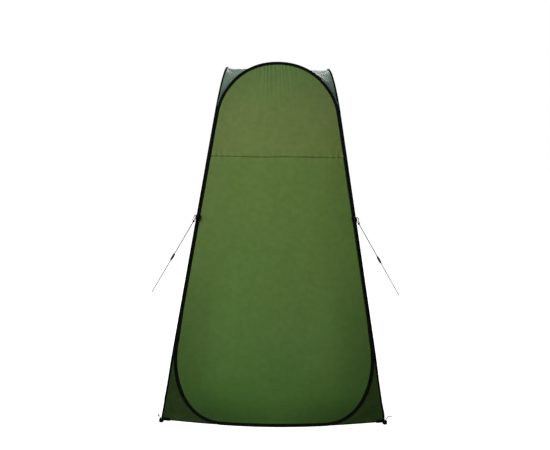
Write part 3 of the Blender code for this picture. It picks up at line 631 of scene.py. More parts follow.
def stitches_on(wall, path, n, sizes, out=1, closed=False):
    """A row of stitches along a path laid out on a wall, standing on its out side."""
    length, pitch = sizes
    spots = resample(np.asarray(path, float), pitch, closed)
    before = np.roll(spots, 1, 0) if closed else np.concatenate((spots[:1], spots[:-1]))
    after = np.roll(spots, -1, 0) if closed else np.concatenate((spots[1:], spots[-1:]))
    centres = place(wall, *spots.T, n)
    along = unit(place(wall, *after.T, n) - place(wall, *before.T, n))
    stand = place(wall, *spots.T, n + out) - centres
    across = unit(np.cross(stand, along))
    stand = np.cross(along, across)
    return repeat(STITCH, centres, (along * length, across * length, stand * length))


# ---- Hoops -------------------------------------------------------------------------------------

HOOP_STEP = 0.012
# Inner half of the tape's section, from its cloth edge to its outer edge: (across, n) in mm.
BINDING_SECTION = ((-14.0, 3.2), (-14.0, 2.0), (-13.4, 1.35), (-11.5, 1.15), (-8.5, 1.0),
                   (-6.3, 0.6), (-4.6, 0.12), (-3.0, 0.0), (-1.5, 0.5), (-0.4, 1.7), (0.0, 3.2))
BINDING_BEAD = 0.0018      # how much further the tape stands out over the wire, on the outside
BEAD_AT = 0.0038           # the bead's middle, in from the tape's outer edge
BEAD_HALF = 0.0040
FLAT_AT = 0.006            # where the tape starts to lie flat, in from its outer edge
FLAT_RUN = 0.008
# Heights, and how wide the flat part of the tape is there against its section.
BINDING_SPREAD = ((0.02, 0.15, 0.45, 0.60, 1.55, 1.80), (1.15, 1.38, 1.20, 0.86, 0.92, 1.20))
BINDING_WANDER = 0.00018
BINDING_ROW = 0.0112       # the stitches' row, in from the hoop's outer edge
BINDING_ROW_SINK = 0.0011  # and how far it lies below the tape's full depth


def build_binding(wall):
    """Folded tape: round over the wire, pressed flat on the cloth, stitched on both sides."""
    half = np.array(BINDING_SECTION) / 1000
    upper = half[-2:0:-1] * (1, -1) + (0, BINDING_DEPTH)
    upper[:, 1] += BINDING_BEAD * np.exp(-((upper[:, 0] + BEAD_AT) / BEAD_HALF) ** 2)
    section = np.concatenate((half, upper))
    points = resample(HOOP, HOOP_STEP, closed=True)
    normals = outline_normals(points)
    rng = random.Random(wall)
    wander = np.array([rng.uniform(-1, 1) for _ in points])
    wander = (wander + np.roll(wander, 1) + np.roll(wander, -1)) * BINDING_WANDER
    flat = np.clip((-section[:, 0] - FLAT_AT) / FLAT_RUN, 0, 1)
    spread = np.interp(points[:, 1], *BINDING_SPREAD)[:, None] - 1
    across = section[:, 0] * (1 + spread * flat) + wander[:, None] * flat
    spots = points[:, None] + normals[:, None] * across[..., None]
    rings = place(wall, spots[..., 0], np.maximum(spots[..., 1], 0), section[:, 1][None, :])
    name = WALLS[wall] + "_hoop"
    body = WALLS[wall] + "_wall"
    add_piece(name + "_tape", loft(rings, closed=True), TAPE, body, name + "_binding")
    row = offset(HOOP, -BINDING_ROW)
    rows = [stitches_on(wall, row, BINDING_DEPTH - BINDING_ROW_SINK, HOOP_STITCHES, 1, True),
            stitches_on(wall, row, BINDING_ROW_SINK, HOOP_INNER_STITCHES, -1, True)]
    add_piece(name + "_stitches", merge(rows), THREAD, body)
    for node in (name + "_wire", WALLS[wall] + "_wire_ferrule"):
        finish_node(node, WIRE)


def finish_node(node, mat):
    """A frame node that keeps its shape gets its finished material."""
    obj = frame["nodes"][node]
    obj.data.materials.clear()
    obj.data.materials.append(mat[0])


# ---- Wall cloth --------------------------------------------------------------------------------

CLOTH = 0.0008              # thickness of every sheet
EDGE_STEP = 0.006
PLEAT_RIDGE = (0.55, 2.2)   # height and width of the ridge round a pleat, against its groove
# Columns across each sheet, and the step between its rows.
UPPER_GRID = (145, 0.0065)
LOWER_GRID = (97, 0.010)
SIDE_GRID = (105, 0.0095)
DOOR_GRID = (97, 0.010)
SIDE_PLEATS = (13, -0.13, 0.15)            # how many, and from where to where across the arch
DOOR_PLEATS = (6, -0.10, 0.12)
PUCKER_PITCH = 0.021
PUCKER_DEPTH = 0.0011
PUCKER_FROM = 0.004         # in from the cloth's edge
PUCKER_REACH = 0.011        # from there to where the ripples are highest


def edge_reach(u, v, edge):
    """Distance from each point to the cloth's edge, and how far round the edge that is."""
    spots = resample(edge, EDGE_STEP, closed=True)
    flat = np.stack((np.ravel(u), np.ravel(v)), 1)
    gap = np.linalg.norm(flat[:, None] - spots[None], axis=2)
    near = gap.argmin(1)
    reach = gap[np.arange(len(flat)), near]
    return reach.reshape(np.shape(u)), (near * EDGE_STEP).reshape(np.shape(u))


def pleats(u, v, lines):
    """Grooves down from the arch: each has its own foot, lean, width, depth and length."""
    drop = np.maximum(TOP_V - BINDING_WIDTH - v, 0)
    total = np.zeros(np.shape(u))
    ridge, wider = PLEAT_RIDGE
    for at, lean, width, depth, length in lines:
        away = u - (at + lean * drop)
        profile = np.exp(-(away / width) ** 2) - ridge * np.exp(-(away / (width * wider)) ** 2)
        total -= depth * profile * np.exp(-(drop / length) ** 1.5)
    return total


def wall_lines(seed, count, low, high):
    """Pleat lines spread over part of an arch, a little uneven."""
    rng = random.Random(seed)
    lines = []
    for k in range(count):
        at = low + (high - low) * (k + rng.uniform(0.15, 0.85)) / count
        lines.append((at, at * rng.uniform(0.05, 0.5), rng.uniform(0.0035, 0.0065),
                      rng.uniform(0.0010, 0.0034), rng.uniform(0.08, 0.19)))
    return lines


def drape(u, v, edge, seed, lines):
    """How far a wall's cloth stands off its mean sheet: broad waves and pleats."""
    fade = 1 - np.exp(-(edge / 0.06) ** 2)
    broad = field(u, v * 0.6, 3.1, seed) * 0.0042 + field(u, v, 9.0, seed + 3) * 0.0011
    return fade * broad + pleats(u, v, lines)


def puckers(edge, arc, seed):
    """Short ripples that the binding's stitching draws into the cloth."""
    strength = 0.5 + 0.5 * field(arc, np.zeros(np.shape(arc)), 6.0, seed)
    phase = 3 * field(arc, np.ones(np.shape(arc)), 9.0, seed + 1)
    ripple = np.sin(arc * 2 * np.pi / PUCKER_PITCH + phase)
    reach = np.maximum(edge - PUCKER_FROM, 0) / PUCKER_REACH
    fade = reach * np.exp(1 - reach) * (edge > PUCKER_FROM)
    return PUCKER_DEPTH * np.maximum(strength, 0.1) * ripple * fade


def cloth_rows(right, left, low, high, columns, step):
    """Rows of (u, v) across a sheet whose sides are two half outlines."""
    side = resample(right[right[:, 1] > right[0, 1] + 1e-9], step)
    levels = side[:, 1]
    levels = np.concatenate(([low], levels[(levels > low + step / 4) & (levels < high - step / 8)],
                             [high]))
    ends = []
    for half in (left, right):
        rising = half[LEVEL_STEPS:]
        ends.append(np.interp(levels, rising[:, 1], rising[:, 0]))
    share = np.linspace(0, 1, columns)
    u = -ends[0][:, None] * (1 - share) + ends[1][:, None] * share
    return u, np.repeat(levels[:, None], columns, 1)


def wall_cloth(name, wall, body, node, rows, seed, lines, extra=None, edge_line=CLOTH_EDGE):
    """A sheet of a wall's fabric, with its waves, puckers and pleats."""
    u, v = rows
    edge, arc = edge_reach(u, v, edge_line)
    stand = drape(u, v, edge, seed, lines) + puckers(edge, arc, seed + 11)
    if extra is not None:
        stand = stand + extra(u, v)
    sheet = shell(place(wall, u, v, FABRIC_MID + stand), CLOTH, np.stack((u, v), -1))
    mark_rim_shade(add_piece(name, sheet, WALL_CLOTH, body, node), u, v)


def mark_rim_shade(piece, u, v):
    """Store on each point of a sheet, on either face, its share of painted shade, from how near it
    lies to the hoop.
    """
    reach, _ = edge_reach(u, v, CLOTH_EDGE)
    near = np.clip(1 - reach / RIM_REACH, 0, 1)
    share = near ** 2 * (3 - 2 * near) * np.interp(v, *RIM_STRENGTH)
    share = share * np.clip(np.abs(u) / RIM_MIDDLE, 0, 1)
    rim = piece.data.attributes.new("rim", "FLOAT", "POINT")
    rim.data.foreach_set("value", np.tile(share.ravel(), 2).astype(np.float32))


SEAM_SAG = 0.004
SEAM_HALF = 0.36
SEAM_OVERLAP = 0.0060
SEAM_FADE = 0.05            # how far from the seam the sheets' rows still follow it
LAP_LIFT = (0.0014, 0.012)  # how far the upper sheet rises over the lower one, and its fade
TUCK_DROP = (0.0012, 0.010)
SEAM_ROWS = (0.0012, 0.0048)
SEAM_ROW_N = FABRIC_MID + 0.0018
PANEL_TOP = TOP_V - FABRIC_INSET - 0.0014
PANEL_LOW = FABRIC_INSET
# Each pleat's foot, lean, width, depth and length, as pleats() takes them.
FRONT_PLEATS = ((-0.088, -0.10, 0.0052, 0.0019, 0.13), (-0.070, -0.03, 0.0042, 0.0030, 0.17),
                (-0.056, 0.02, 0.0040, 0.0034, 0.13), (-0.034, 0.02, 0.0060, 0.0018, 0.20),
                (-0.012, 0.05, 0.0050, 0.0017, 0.19), (0.012, 0.06, 0.0050, 0.0023, 0.17),
                (0.024, 0.10, 0.0040, 0.0024, 0.16), (0.045, 0.14, 0.0052, 0.0017, 0.20),
                (0.066, 0.16, 0.0060, 0.0011, 0.17), (0.092, 0.20, 0.0060, 0.0011, 0.12),
                (-0.150, -0.75, 0.0075, 0.0022, 0.14), (-0.120, -0.40, 0.0070, 0.0013, 0.09),
                (0.150, 0.60, 0.0080, 0.0010, 0.10))


def seam_line(u):
    """Height of the front seam, which sags a little between the hoop's two sides."""
    wave = 0.0022 * np.sin(u * 9.0 + 0.6) + 0.0010 * np.sin(u * 23.0)
    return SEAM_V - SEAM_SAG * np.cos(u / SEAM_HALF * np.pi / 2) + wave


def lap(u, v):
    """The upper sheet's edge rises over the lower one."""
    lift, fade = LAP_LIFT
    over = v - seam_line(u) + SEAM_OVERLAP
    return lift * np.exp(-(over / fade) ** 2) + seam_pucker(u, v)


def tuck(u, v):
    """The lower sheet's edge sinks under the upper one."""
    drop, fade = TUCK_DROP
    under = seam_line(u) - SEAM_OVERLAP - v
    return -drop * np.exp(-(under / fade) ** 2) + seam_pucker(u, v)


def build_front():
    """Two sheets: the upper one laps over the lower one in a felled seam."""
    u, v = cloth_rows(CLOTH_HALF, CLOTH_HALF, SEAM_V, PANEL_TOP, *UPPER_GRID)
    near = np.exp(-(v - SEAM_V) / SEAM_FADE)
    v = v + (seam_line(u) - SEAM_OVERLAP - SEAM_V) * near
    wall_cloth("front_upper_cloth", FRONT, "front_wall", "front_upper_panel", (u, v), 1,
               FRONT_PLEATS, lap)
    u, v = cloth_rows(CLOTH_HALF, CLOTH_HALF, PANEL_LOW, SEAM_V, *LOWER_GRID)
    near = np.exp(-(SEAM_V - v) / SEAM_FADE)
    v = v + (seam_line(u) - SEAM_V) * near
    wall_cloth("front_lower_cloth", FRONT, "front_wall", "front_lower_panel", (u, v), 1,
               FRONT_PLEATS, tuck)
    reach = half_width(SEAM_V) - BINDING_WIDTH
    across = np.linspace(-reach, reach, 200)
    rows = []
    for rise in SEAM_ROWS:
        path = np.stack((across, seam_line(across) - SEAM_OVERLAP + rise), 1)
        rows.append(stitches_on(FRONT, path, SEAM_ROW_N, SEAM_STITCHES))
    add_piece("front_seam_stitches", merge(rows), GREEN_THREAD, "front_wall")


def seam_pucker(u, v):
    """Small ripples drawn in by the seam, strongest near the hoop."""
    away = np.abs(v - seam_line(u))
    side = np.exp(-((half_width(SEAM_V) - np.abs(u)) / 0.06))
    ripple = np.sin(u * 2 * np.pi / 0.034 + 2.0 * np.sin(u * 17.0))
    return (0.0005 + 0.0030 * side) * ripple * np.exp(-away / 0.020)


def build_side(wall):
    """A side wall's single sheet."""
    rows = cloth_rows(CLOTH_HALF, CLOTH_HALF, PANEL_LOW, PANEL_TOP, *SIDE_GRID)
    name = WALLS[wall]
    wall_cloth(name + "_cloth", wall, name + "_wall", name + "_panel", rows, 20 + wall,
               wall_lines(wall, *SIDE_PLEATS))


# ---- Skirts and corners ------------------------------------------------------------------------

HEM_V = 0.0015
SKIRT_EDGE_TAPE = 0.0050
SKIRT_SLACK = 0.018         # how far in from its edges the cloth starts to hang free
SKIRT_STEPS = 46            # along the hoop, and along the corner line and the hem together
SKIRT_DOWN = 27             # of them down the corner line
SKIRT_ROWS = 20
EDGE_TAPE_SECTION = ((0.0, 0.0011), (0.0, -0.0011), (0.25, -0.0014), (0.85, -0.0012),
                     (1.0, -0.0006), (1.0, 0.0006), (0.85, 0.0012), (0.25, 0.0014))
HEM_ROW = 0.75              # share of the edge tape's width
HEM_ROW_N = FABRIC_MID + 0.0013


def skirt_grid():
    """(u, v) of a skirt, from the hoop's bottom corner to the corner line and the ground."""
    half = HALF_HOOP[LEVEL_STEPS:LEVEL_STEPS + CURVE_STEPS + 1]
    run = half[half[:, 1] > HEM_V + 0.001]
    hoop_edge = np.stack([np.interp(np.linspace(0, 1, SKIRT_STEPS), np.linspace(0, 1, len(run)),
                                    run[::-1][:, k]) for k in (0, 1)], 1)
    foot = np.array((half_width(HEM_V) - EDGE_GAP, HEM_V))
    start = np.array((half_width(hoop_edge[0, 1]) - EDGE_GAP, hoop_edge[0, 1]))
    end = np.array((hoop_edge[-1, 0], HEM_V))
    level = np.linspace(0, 1, SKIRT_STEPS - SKIRT_DOWN + 1)
    outer = np.concatenate((start + (foot - start) * np.linspace(0, 1, SKIRT_DOWN)[:-1, None],
                            foot + (end - foot) * level[:, None]))
    share = np.linspace(0, 1, SKIRT_ROWS)[None, :, None]
    spots = hoop_edge[:, None] * (1 - share) + outer[:, None] * share
    return spots, outer


def build_skirt(wall, side, label):
    """Corner cloth outside the hoop, creased, with taped edges and a stitched hem."""
    spots, outer = skirt_grid()
    u = spots[..., 0] * side
    v = spots[..., 1]
    edge, _ = edge_reach(spots[..., 0], v, np.concatenate((spots[:, 0], outer[::-1])))
    slack = 1 - np.exp(-(edge / SKIRT_SLACK) ** 2)
    stand = (field(u, v, 11.0, 40 + wall * 2 + side) * 0.0055
             + field(u * 0.5, v, 34.0, 50 + wall) * 0.0016) * slack
    body = WALLS[wall] + "_wall"
    sheet = shell(place(wall, u, v, FABRIC_MID + stand), CLOTH, np.stack((u, v), -1))
    name = WALLS[wall] + "_skirt_" + label
    add_piece(name + "_cloth", sheet, SHADED_SKIRT_CLOTH, body, name)
    tape = resample(outer, 0.012)
    inward = tape - (SKIRT_EDGE_TAPE, 0)
    corner = np.argmin(tape[:, 1] - tape[:, 0])
    low = tape[:, 1] < HEM_V + 1e-6
    inward[low] = tape[low] + (0, SKIRT_EDGE_TAPE)
    inward[corner] = tape[corner] + (-SKIRT_EDGE_TAPE, SKIRT_EDGE_TAPE)

    def lay(share, n):
        edge_spots = tape * (1 - share) + inward * share
        return place(wall, edge_spots[:, 0] * side, edge_spots[:, 1], FABRIC_MID + n)

    add_piece(name + "_edge_tape", swept(EDGE_TAPE_SECTION, lay), TAPE, body)
    middle = tape * (1 - HEM_ROW) + inward * HEM_ROW
    row = stitches_on(wall, middle * (side, 1), HEM_ROW_N, HEM_STITCHES)
    add_piece(name + "_hem_stitches", row, THREAD, body)


# Across the strip and out of the corner, in mm.
STRIP_SECTION = ((-2.9, 0.0), (-1.5, 0.35), (0.0, 0.5), (1.5, 0.35), (2.9, 0.0),
                 (2.9, -0.8), (1.5, -0.45), (0.0, -0.3), (-1.5, -0.45), (-2.9, -0.8))
STRIP_RUN = (0.004, ARCH_V - 0.02)


def build_corner_strip(label, wall, side, body, other):
    """Tape sewn down a corner, hoop to hoop."""
    levels = np.linspace(*STRIP_RUN, 90)
    corner = place(wall, side * half_width(levels), levels, 0.0)
    along, face = corner_axes(wall, side)
    across = (along - face).normalized()
    out = (along + face).normalized()
    section = np.array(STRIP_SECTION) / 1000
    profile = section[:, :1] * np.array(across) + section[:, 1:] * np.array(out)
    strip = add_piece("corner_strip_" + label, loft(corner[:, None] + profile[None]), TAPE,
                      None if other else body)
    if other:
        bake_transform(strip)


def corner_axes(wall, side):
    """Level unit ways at a wall's corner: along the wall to it, and out of the wall."""
    turn = Matrix.Rotation(math.radians(90 * wall), 3, "Z")
    return turn @ Vector((side, 0, 0)), turn @ Vector((0, -1, 0))


# ---- Roof --------------------------------------------------------------------------------------

ROOF_GRID = 64
ROOF_PEAK_Z = 1.8925
ROOF_FALL = 0.60
ROOF_FOLD = 0.0045
# Creases from each arch's top to the next: height, how far out from there, and half width.
ROOF_CREASES = ((1.0, 0.0, 0.010), (-0.9, 0.028, 0.012), (0.5, 0.060, 0.014), (-0.6, 0.095, 0.016))
ROOF_SHRINK = -0.006       # the sheet is cut larger than its frame, so that it creases
ROOF_MOVE = 0.006
ROOF_FRAMES = 24
ROOF_CLOTH_SETTINGS = {"quality": 6, "mass": 0.10, "tension_stiffness": 18,
                       "compression_stiffness": 18, "shear_stiffness": 6,
                       "bending_stiffness": 0.02, "shrink_min": ROOF_SHRINK,
                       "shrink_max": ROOF_SHRINK, "vertex_group_mass": "rim"}
ROOF_SEAM = 0.0075
ROOF_SEAM_SECTION = ((0.0, 0.0004), (0.0, 0.0016), (0.5, 0.0020), (0.92, 0.0014), (1.0, 0.0004))


def arch_curve(wall):
    """The roof's edge along a wall's arch, just inside its hoop, from the wall's -u end."""
    half = HALF_HOOP[-(CURVE_STEPS + 1):]
    arch = np.concatenate((half * (-1, 1), half[-2::-1]))
    reach = lengths(arch)
    spots = np.linspace(0, reach[-1], ROOF_GRID + 1)
    u, v = (np.interp(spots, reach, arch[:, k]) for k in (0, 1))
    return place(wall, u, v - ROOF_DROP, -0.0012)


def relax(height, least, rounds=3000):
    """A membrane held at its rim and by what it lies on: neither lets it sink below least."""
    for _ in range(rounds):
        mean = (height[:-2, 1:-1] + height[2:, 1:-1] + height[1:-1, :-2] + height[1:-1, 2:]) / 4
        height[1:-1, 1:-1] = np.maximum(mean, least[1:-1, 1:-1])
    return height


def taut_height(x, y):
    """Height of cloth pulled tight over the four arches: nearly level between their tops."""
    top = half_width(TOP_V)
    reach = np.abs(x) + np.abs(y)
    rise = (ROOF_PEAK_Z - ROOF_CENTRE_Z) * np.minimum(np.maximum(np.abs(x), np.abs(y)) / top, 1)
    return ROOF_CENTRE_Z + rise - np.maximum(reach - top, 0) * ROOF_FALL


def roof_sheet():
    """Grid of points of the whole roof, stretched between the four arches."""
    near = arch_curve(FRONT)
    far = arch_curve(BACK)[::-1]
    left = arch_curve(LEFT)[::-1]
    right = arch_curve(RIGHT)
    share = np.linspace(0, 1, ROOF_GRID + 1)
    s = share[None, :, None]
    t = share[:, None, None]
    corners = ((1 - s) * (1 - t) * near[0] + s * (1 - t) * near[-1]
               + (1 - s) * t * far[0] + s * t * far[-1])
    sheet = ((1 - t) * near[None] + t * far[None]
             + (1 - s) * left[:, None] + s * right[:, None] - corners)
    least = taut_height(sheet[..., 0], sheet[..., 1])
    sheet[1:-1, 1:-1, 2] = least[1:-1, 1:-1]
    height = relax(sheet[..., 2].copy(), least)
    folds = roof_folds(sheet[..., 0], sheet[..., 1])
    sheet[1:-1, 1:-1, 2] = (height + folds)[1:-1, 1:-1]
    return sheet


def roof_folds(x, y):
    """Tension creases: a ridge between neighbouring arch tops and two grooves below it."""
    past = np.abs(x) + np.abs(y) - half_width(TOP_V) + field(x, y, 5.0, 9) * 0.008
    strength = 1 + 0.5 * field(x, y, 4.0, 10)
    ridges = sum(height * np.exp(-((past - at) / half) ** 2) for height, at, half in ROOF_CREASES)
    return ROOF_FOLD * strength * ridges


def settle_roof(sheet):
    """Cloth simulation: the oversize sheet, pinned along the arches, sags and creases."""
    rows, cols, _ = sheet.shape
    ripple = field(sheet[..., 0], sheet[..., 1], 16.0, 5) * 0.0012
    start = sheet.copy()
    start[1:-1, 1:-1, 2] += ripple[1:-1, 1:-1]
    mesh = bpy.data.meshes.new("roof_start")
    mesh.from_pydata(start.reshape(-1, 3).tolist(), [], grid_faces(rows, cols))
    obj = bpy.data.objects.new("roof_start", mesh)
    bpy.context.scene.collection.objects.link(obj)
    rim = [r * cols + c for r in range(rows) for c in range(cols)
           if r in (0, rows - 1) or c in (0, cols - 1)]
    obj.vertex_groups.new(name="rim").add(rim, 1.0, "REPLACE")
    cloth = obj.modifiers.new("cloth", "CLOTH").settings
    for key, value in ROOF_CLOTH_SETTINGS.items():
        setattr(cloth, key, value)
    for step in range(1, ROOF_FRAMES + 1):
        bpy.context.scene.frame_set(step)
    settled = obj.evaluated_get(bpy.context.evaluated_depsgraph_get()).data
    points = np.array([v.co for v in settled.vertices], float).reshape(sheet.shape)
    bpy.context.scene.frame_set(1)
    bpy.data.objects.remove(obj, do_unlink=True)
    moved = points - sheet
    length = np.linalg.norm(moved, axis=2, keepdims=True)
    capped = np.tanh(length / ROOF_MOVE) * ROOF_MOVE
    return sheet + moved * capped / np.maximum(length, 1e-9)


def thicken(points, normals, faces, thickness, uv):
    """Closed thin solid either side of an open sheet."""
    size = len(points)
    verts = np.concatenate((points + normals * thickness / 2, points - normals * thickness / 2))
    edges = {}
    for face in faces:
        for a, b in zip(face, face[1:] + face[:1]):
            key = (min(a, b), max(a, b))
            edges[key] = None if key in edges else (a, b)
    rim = [[a, b, b + size, a + size] for a, b in (e for e in edges.values() if e)]
    faces = faces + [[i + size for i in face] for face in faces] + rim
    return verts, faces, np.concatenate((uv, uv))


def gore_faces(wall):
    """Faces of the roof's grid between a wall's arch and the two diagonals."""
    last = ROOF_GRID - 1
    faces = []
    for r in range(ROOF_GRID):
        for c in range(ROOF_GRID):
            a = r * (ROOF_GRID + 1) + c
            b = a + ROOF_GRID + 1
            if r == c:
                tris = (([a, a + 1, b + 1], FRONT if r + c < last + 1 else RIGHT),
                        ([a, b + 1, b], LEFT if r + c < last + 1 else BACK))
            elif r + c == last:
                tris = (([a, a + 1, b], FRONT if r < c else LEFT),
                        ([a + 1, b + 1, b], RIGHT if r < c else BACK))
            else:
                below = r < c
                near = r + c < last
                side = (FRONT if below else LEFT) if near else (RIGHT if below else BACK)
                tris = (([a, a + 1, b + 1, b], side),)
            faces += [face for face, owner in tris if owner == wall]
    return faces


def build_roof():
    """Four gores of one creased sheet, with taped seams along the diagonals."""
    sheet = roof_sheet()
    sheet = settle_roof(sheet)
    normals = unit(np.cross(np.gradient(sheet, axis=1), np.gradient(sheet, axis=0)))
    for wall in range(4):
        name = WALLS[wall]
        faces = gore_faces(wall)
        used = sorted({i for face in faces for i in face})
        renumber = {old: new for new, old in enumerate(used)}
        faces = [[renumber[i] for i in face] for face in faces]
        points = sheet.reshape(-1, 3)[used]
        gore = thicken(points, normals.reshape(-1, 3)[used], faces, CLOTH, points[:, :2])
        flatten(add_piece(name + "_roof_cloth", gore, ROOF_CLOTH, name + "_wall",
                          name + "_roof_gore"), wall)
        seams = merge([roof_seam(wall, side, sheet, normals) for side in (-1, 1)])
        flatten(add_piece(name + "_roof_seam_tape", seams, ROOF_TAPE, name + "_wall"), wall)


def roof_seam(wall, side, sheet, normals):
    """Tape beside a diagonal, from the arches' foot to the middle, on one wall's gore."""
    far, right = ((0, 0), (0, 1), (1, 1), (1, 0))[(wall + (side > 0)) % 4]
    steps = np.arange(ROOF_GRID // 2 + 1)
    r = ROOF_GRID - steps if far else steps
    c = ROOF_GRID - steps if right else steps
    line = sheet[r, c]
    stand = normals[r, c]
    _, face = corner_axes(wall, side)
    across = unit(np.cross(stand, np.gradient(line, axis=0)))
    across *= np.sign((across * np.array(face)).sum(1))[:, None]
    return swept(ROOF_SEAM_SECTION,
                 lambda w, h: (line + across * ROOF_SEAM * w + stand * h)[1:-1])


def flatten(piece, wall):
    """A roof piece gets a mesh of its own."""
    on_wall = place(wall, 0.0, TOP_V, 0.0)
    out = place(wall, 0.0, TOP_V, 1.0) - on_wall
    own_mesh(piece)


# ---- Door --------------------------------------------------------------------------------------

DOOR_MIDDLE = (0.0, 0.9)
ZIP_START_V = 0.335
ZIP_TAPE_DEPTH = 0.0010
# Away from the zip's line, and n as a share of the tape's depth.
ZIP_SECTION = ((0.00015, 0.0), (0.00015, 1.0), (0.0030, 1.15), (0.0085, 1.0), (0.0092, 0.6),
               (0.0092, 0.2), (0.0085, 0.0))
ZIP_ROW = 0.0068
TOOTH = ([(x * s, y * s, z) for z, s in ((-0.8, 1.0), (0.4, 1.0), (1.0, 0.6))
          for x, y in ((-1, -1), (1, -1), (1, 1), (-1, 1))], BLOCK_FACES)
TOOTH_PITCH = 0.0026
TOOTH_HALF = (0.00055, 0.0012, 0.0010)     # along the zip, across it and out
TOOTH_SHIFT = {1: 0.25, -1: 0.75}          # of a pitch, so that the two rows interlock
TOOTH_AWAY = 0.0006
TOOTH_N = ZIP_N + ZIP_TAPE_DEPTH / 2 + 0.0008
HINGE_TAPE_HALF = 0.0080
HINGE_SECTION = ((-1.0, 0.0), (-0.95, 0.0006), (-0.5, 0.0010), (0.0, 0.0012), (0.5, 0.0010),
                 (0.95, 0.0006), (1.0, 0.0), (0.5, 0.0002), (0.0, 0.0004), (-0.5, 0.0002))
HINGE_N = FABRIC_MID + CLOTH


def zip_run(points):
    """The zip's run on the door's outline: all of it but the hinge side."""
    hinge = np.flatnonzero((points[:, 0] < 0) & (points[:, 1] >= ZIP_START_V)
                           & (points[:, 1] <= ARCH_V))
    return np.concatenate((points[hinge[-1]:], points[:hinge[0] + 1]))


def ring_radius(points, centre, turns):
    """Distance from a centre to a closed outline round it, in each direction."""
    away = points - centre
    angle = np.arctan2(away[:, 1], away[:, 0])
    order = np.argsort(angle)
    reach = np.linalg.norm(away, axis=1)[order]
    return np.interp(turns, angle[order], reach, period=2 * np.pi)


def build_surround():
    """Fixed cloth of the back wall, round the doorway."""
    opening = resample(door_outline(DOOR_GAP / 2), HOOP_STEP, closed=True)
    centre = np.array(DOOR_MIDDLE)
    away = opening - centre
    turns = np.arctan2(away[:, 1], away[:, 0])
    reach = ring_radius(CLOTH_EDGE, centre, turns)
    rim = centre + np.stack((np.cos(turns), np.sin(turns)), 1) * reach[:, None]
    share = np.linspace(0, 1, 11)[None, :, None]
    spots = rim[:, None] * (1 - share) + opening[:, None] * share
    u = spots[..., 0]
    v = spots[..., 1]
    edge, arc = edge_reach(u, v, CLOTH_EDGE)
    stand = puckers(edge, arc, 71) + field(u, v, 9.0, 72) * 0.0012 * np.sin(share[..., 0] * np.pi)
    sheet = shell(place(BACK, u, v, FABRIC_MID + stand), CLOTH, np.stack((u, v), -1), True)
    add_piece("back_surround_cloth", sheet, WALL_CLOTH, "back_wall", "back_door_surround")


def build_leaf():
    """The door's cloth, free on three sides."""
    low = DOOR_SILL + DOOR_GAP / 2
    high = TOP_V - DOOR_HEAD_INSET - DOOR_GAP / 2
    free = half_outline(DOOR_FREE_INSET + DOOR_GAP / 2, low, high)
    hinge = half_outline(DOOR_HINGE_INSET + DOOR_GAP / 2, low, high)
    rows = cloth_rows(free, hinge, low, high - 0.0006, *DOOR_GRID)
    wall_cloth("door_cloth", BACK, "door", "door_leaf", rows, 81, wall_lines(9, *DOOR_PLEATS),
               edge_line=mirror_half(free, hinge))


def build_door_hinge():
    """The strip that the door hangs on."""
    levels = np.linspace(ZIP_START_V + 0.01, ARCH_V - 0.005, 120)
    line = -(half_width(levels) - DOOR_HINGE_INSET)
    shape = swept(HINGE_SECTION, lambda w, n: place(BACK, line + w * HINGE_TAPE_HALF, levels,
                                                    HINGE_N + n))
    strip = add_piece("door_hinge_strip", shape, WALL_CLOTH, None)
    middle = len(levels) // 2
    here = place(BACK, line[middle], levels[middle], HINGE_N)
    along = place(BACK, line[-1], levels[-1], HINGE_N) - here
    wall_middle = place(BACK, 0.0, 1.0, 0.0)
    across = np.cross(place(BACK, 0.0, 1.0, 1.0) - wall_middle, along)
    across /= np.linalg.norm(across)
    across *= np.sign(across.dot(wall_middle - here))
    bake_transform(strip)


def build_zip_half(label, sign, body):
    """One woven tape and its teeth: the two halves part when the door opens."""
    run = resample(zip_run(door_outline(0.0)), 0.010)
    ways = open_normals(run) * sign

    def lay(across, n):
        spots = run + ways * across
        return place(BACK, *spots.T, ZIP_N + (n - 0.5) * ZIP_TAPE_DEPTH)

    name = "zip_" + label
    add_piece(name + "_tape", swept(ZIP_SECTION, lay), TAPE, body, "zip_tape_" + label + "_side")
    row = stitches_on(BACK, run + ways * ZIP_ROW, ZIP_N + ZIP_TAPE_DEPTH * 0.55, ZIP_STITCHES)
    add_piece(name + "_stitches", row, THREAD, body)
    line = resample(zip_run(door_outline(0.0)), TOOTH_PITCH)
    ways = (open_normals(line) * sign)[:-1]
    line = line[:-1] + (line[1:] - line[:-1]) * TOOTH_SHIFT[sign] + ways * TOOTH_AWAY
    centres = place(BACK, *line.T, TOOTH_N)
    across = unit(place(BACK, *(line + ways * 0.001).T, TOOTH_N) - centres)
    along = unit(np.cross(across, place(BACK, *line.T, TOOTH_N + 1) - centres))
    axes = [way * half for way, half in zip((along, across, np.cross(along, across)), TOOTH_HALF)]
    add_piece(name + "_teeth", repeat(TOOTH, centres, axes), TEETH, body)


def joint(name):
    """A joint of the frame by its name."""
    return next(j for j in frame["joints"] if j["name"] == name)


SLIDER_LENGTH = 0.0220
SLIDER_HALF_WIDTH = 0.0050
SLIDER_HALF_DEPTH = 0.0025
SLIDER_ROUNDING = 0.45      # power of its section's curve: 1 is an ellipse, 0 a box
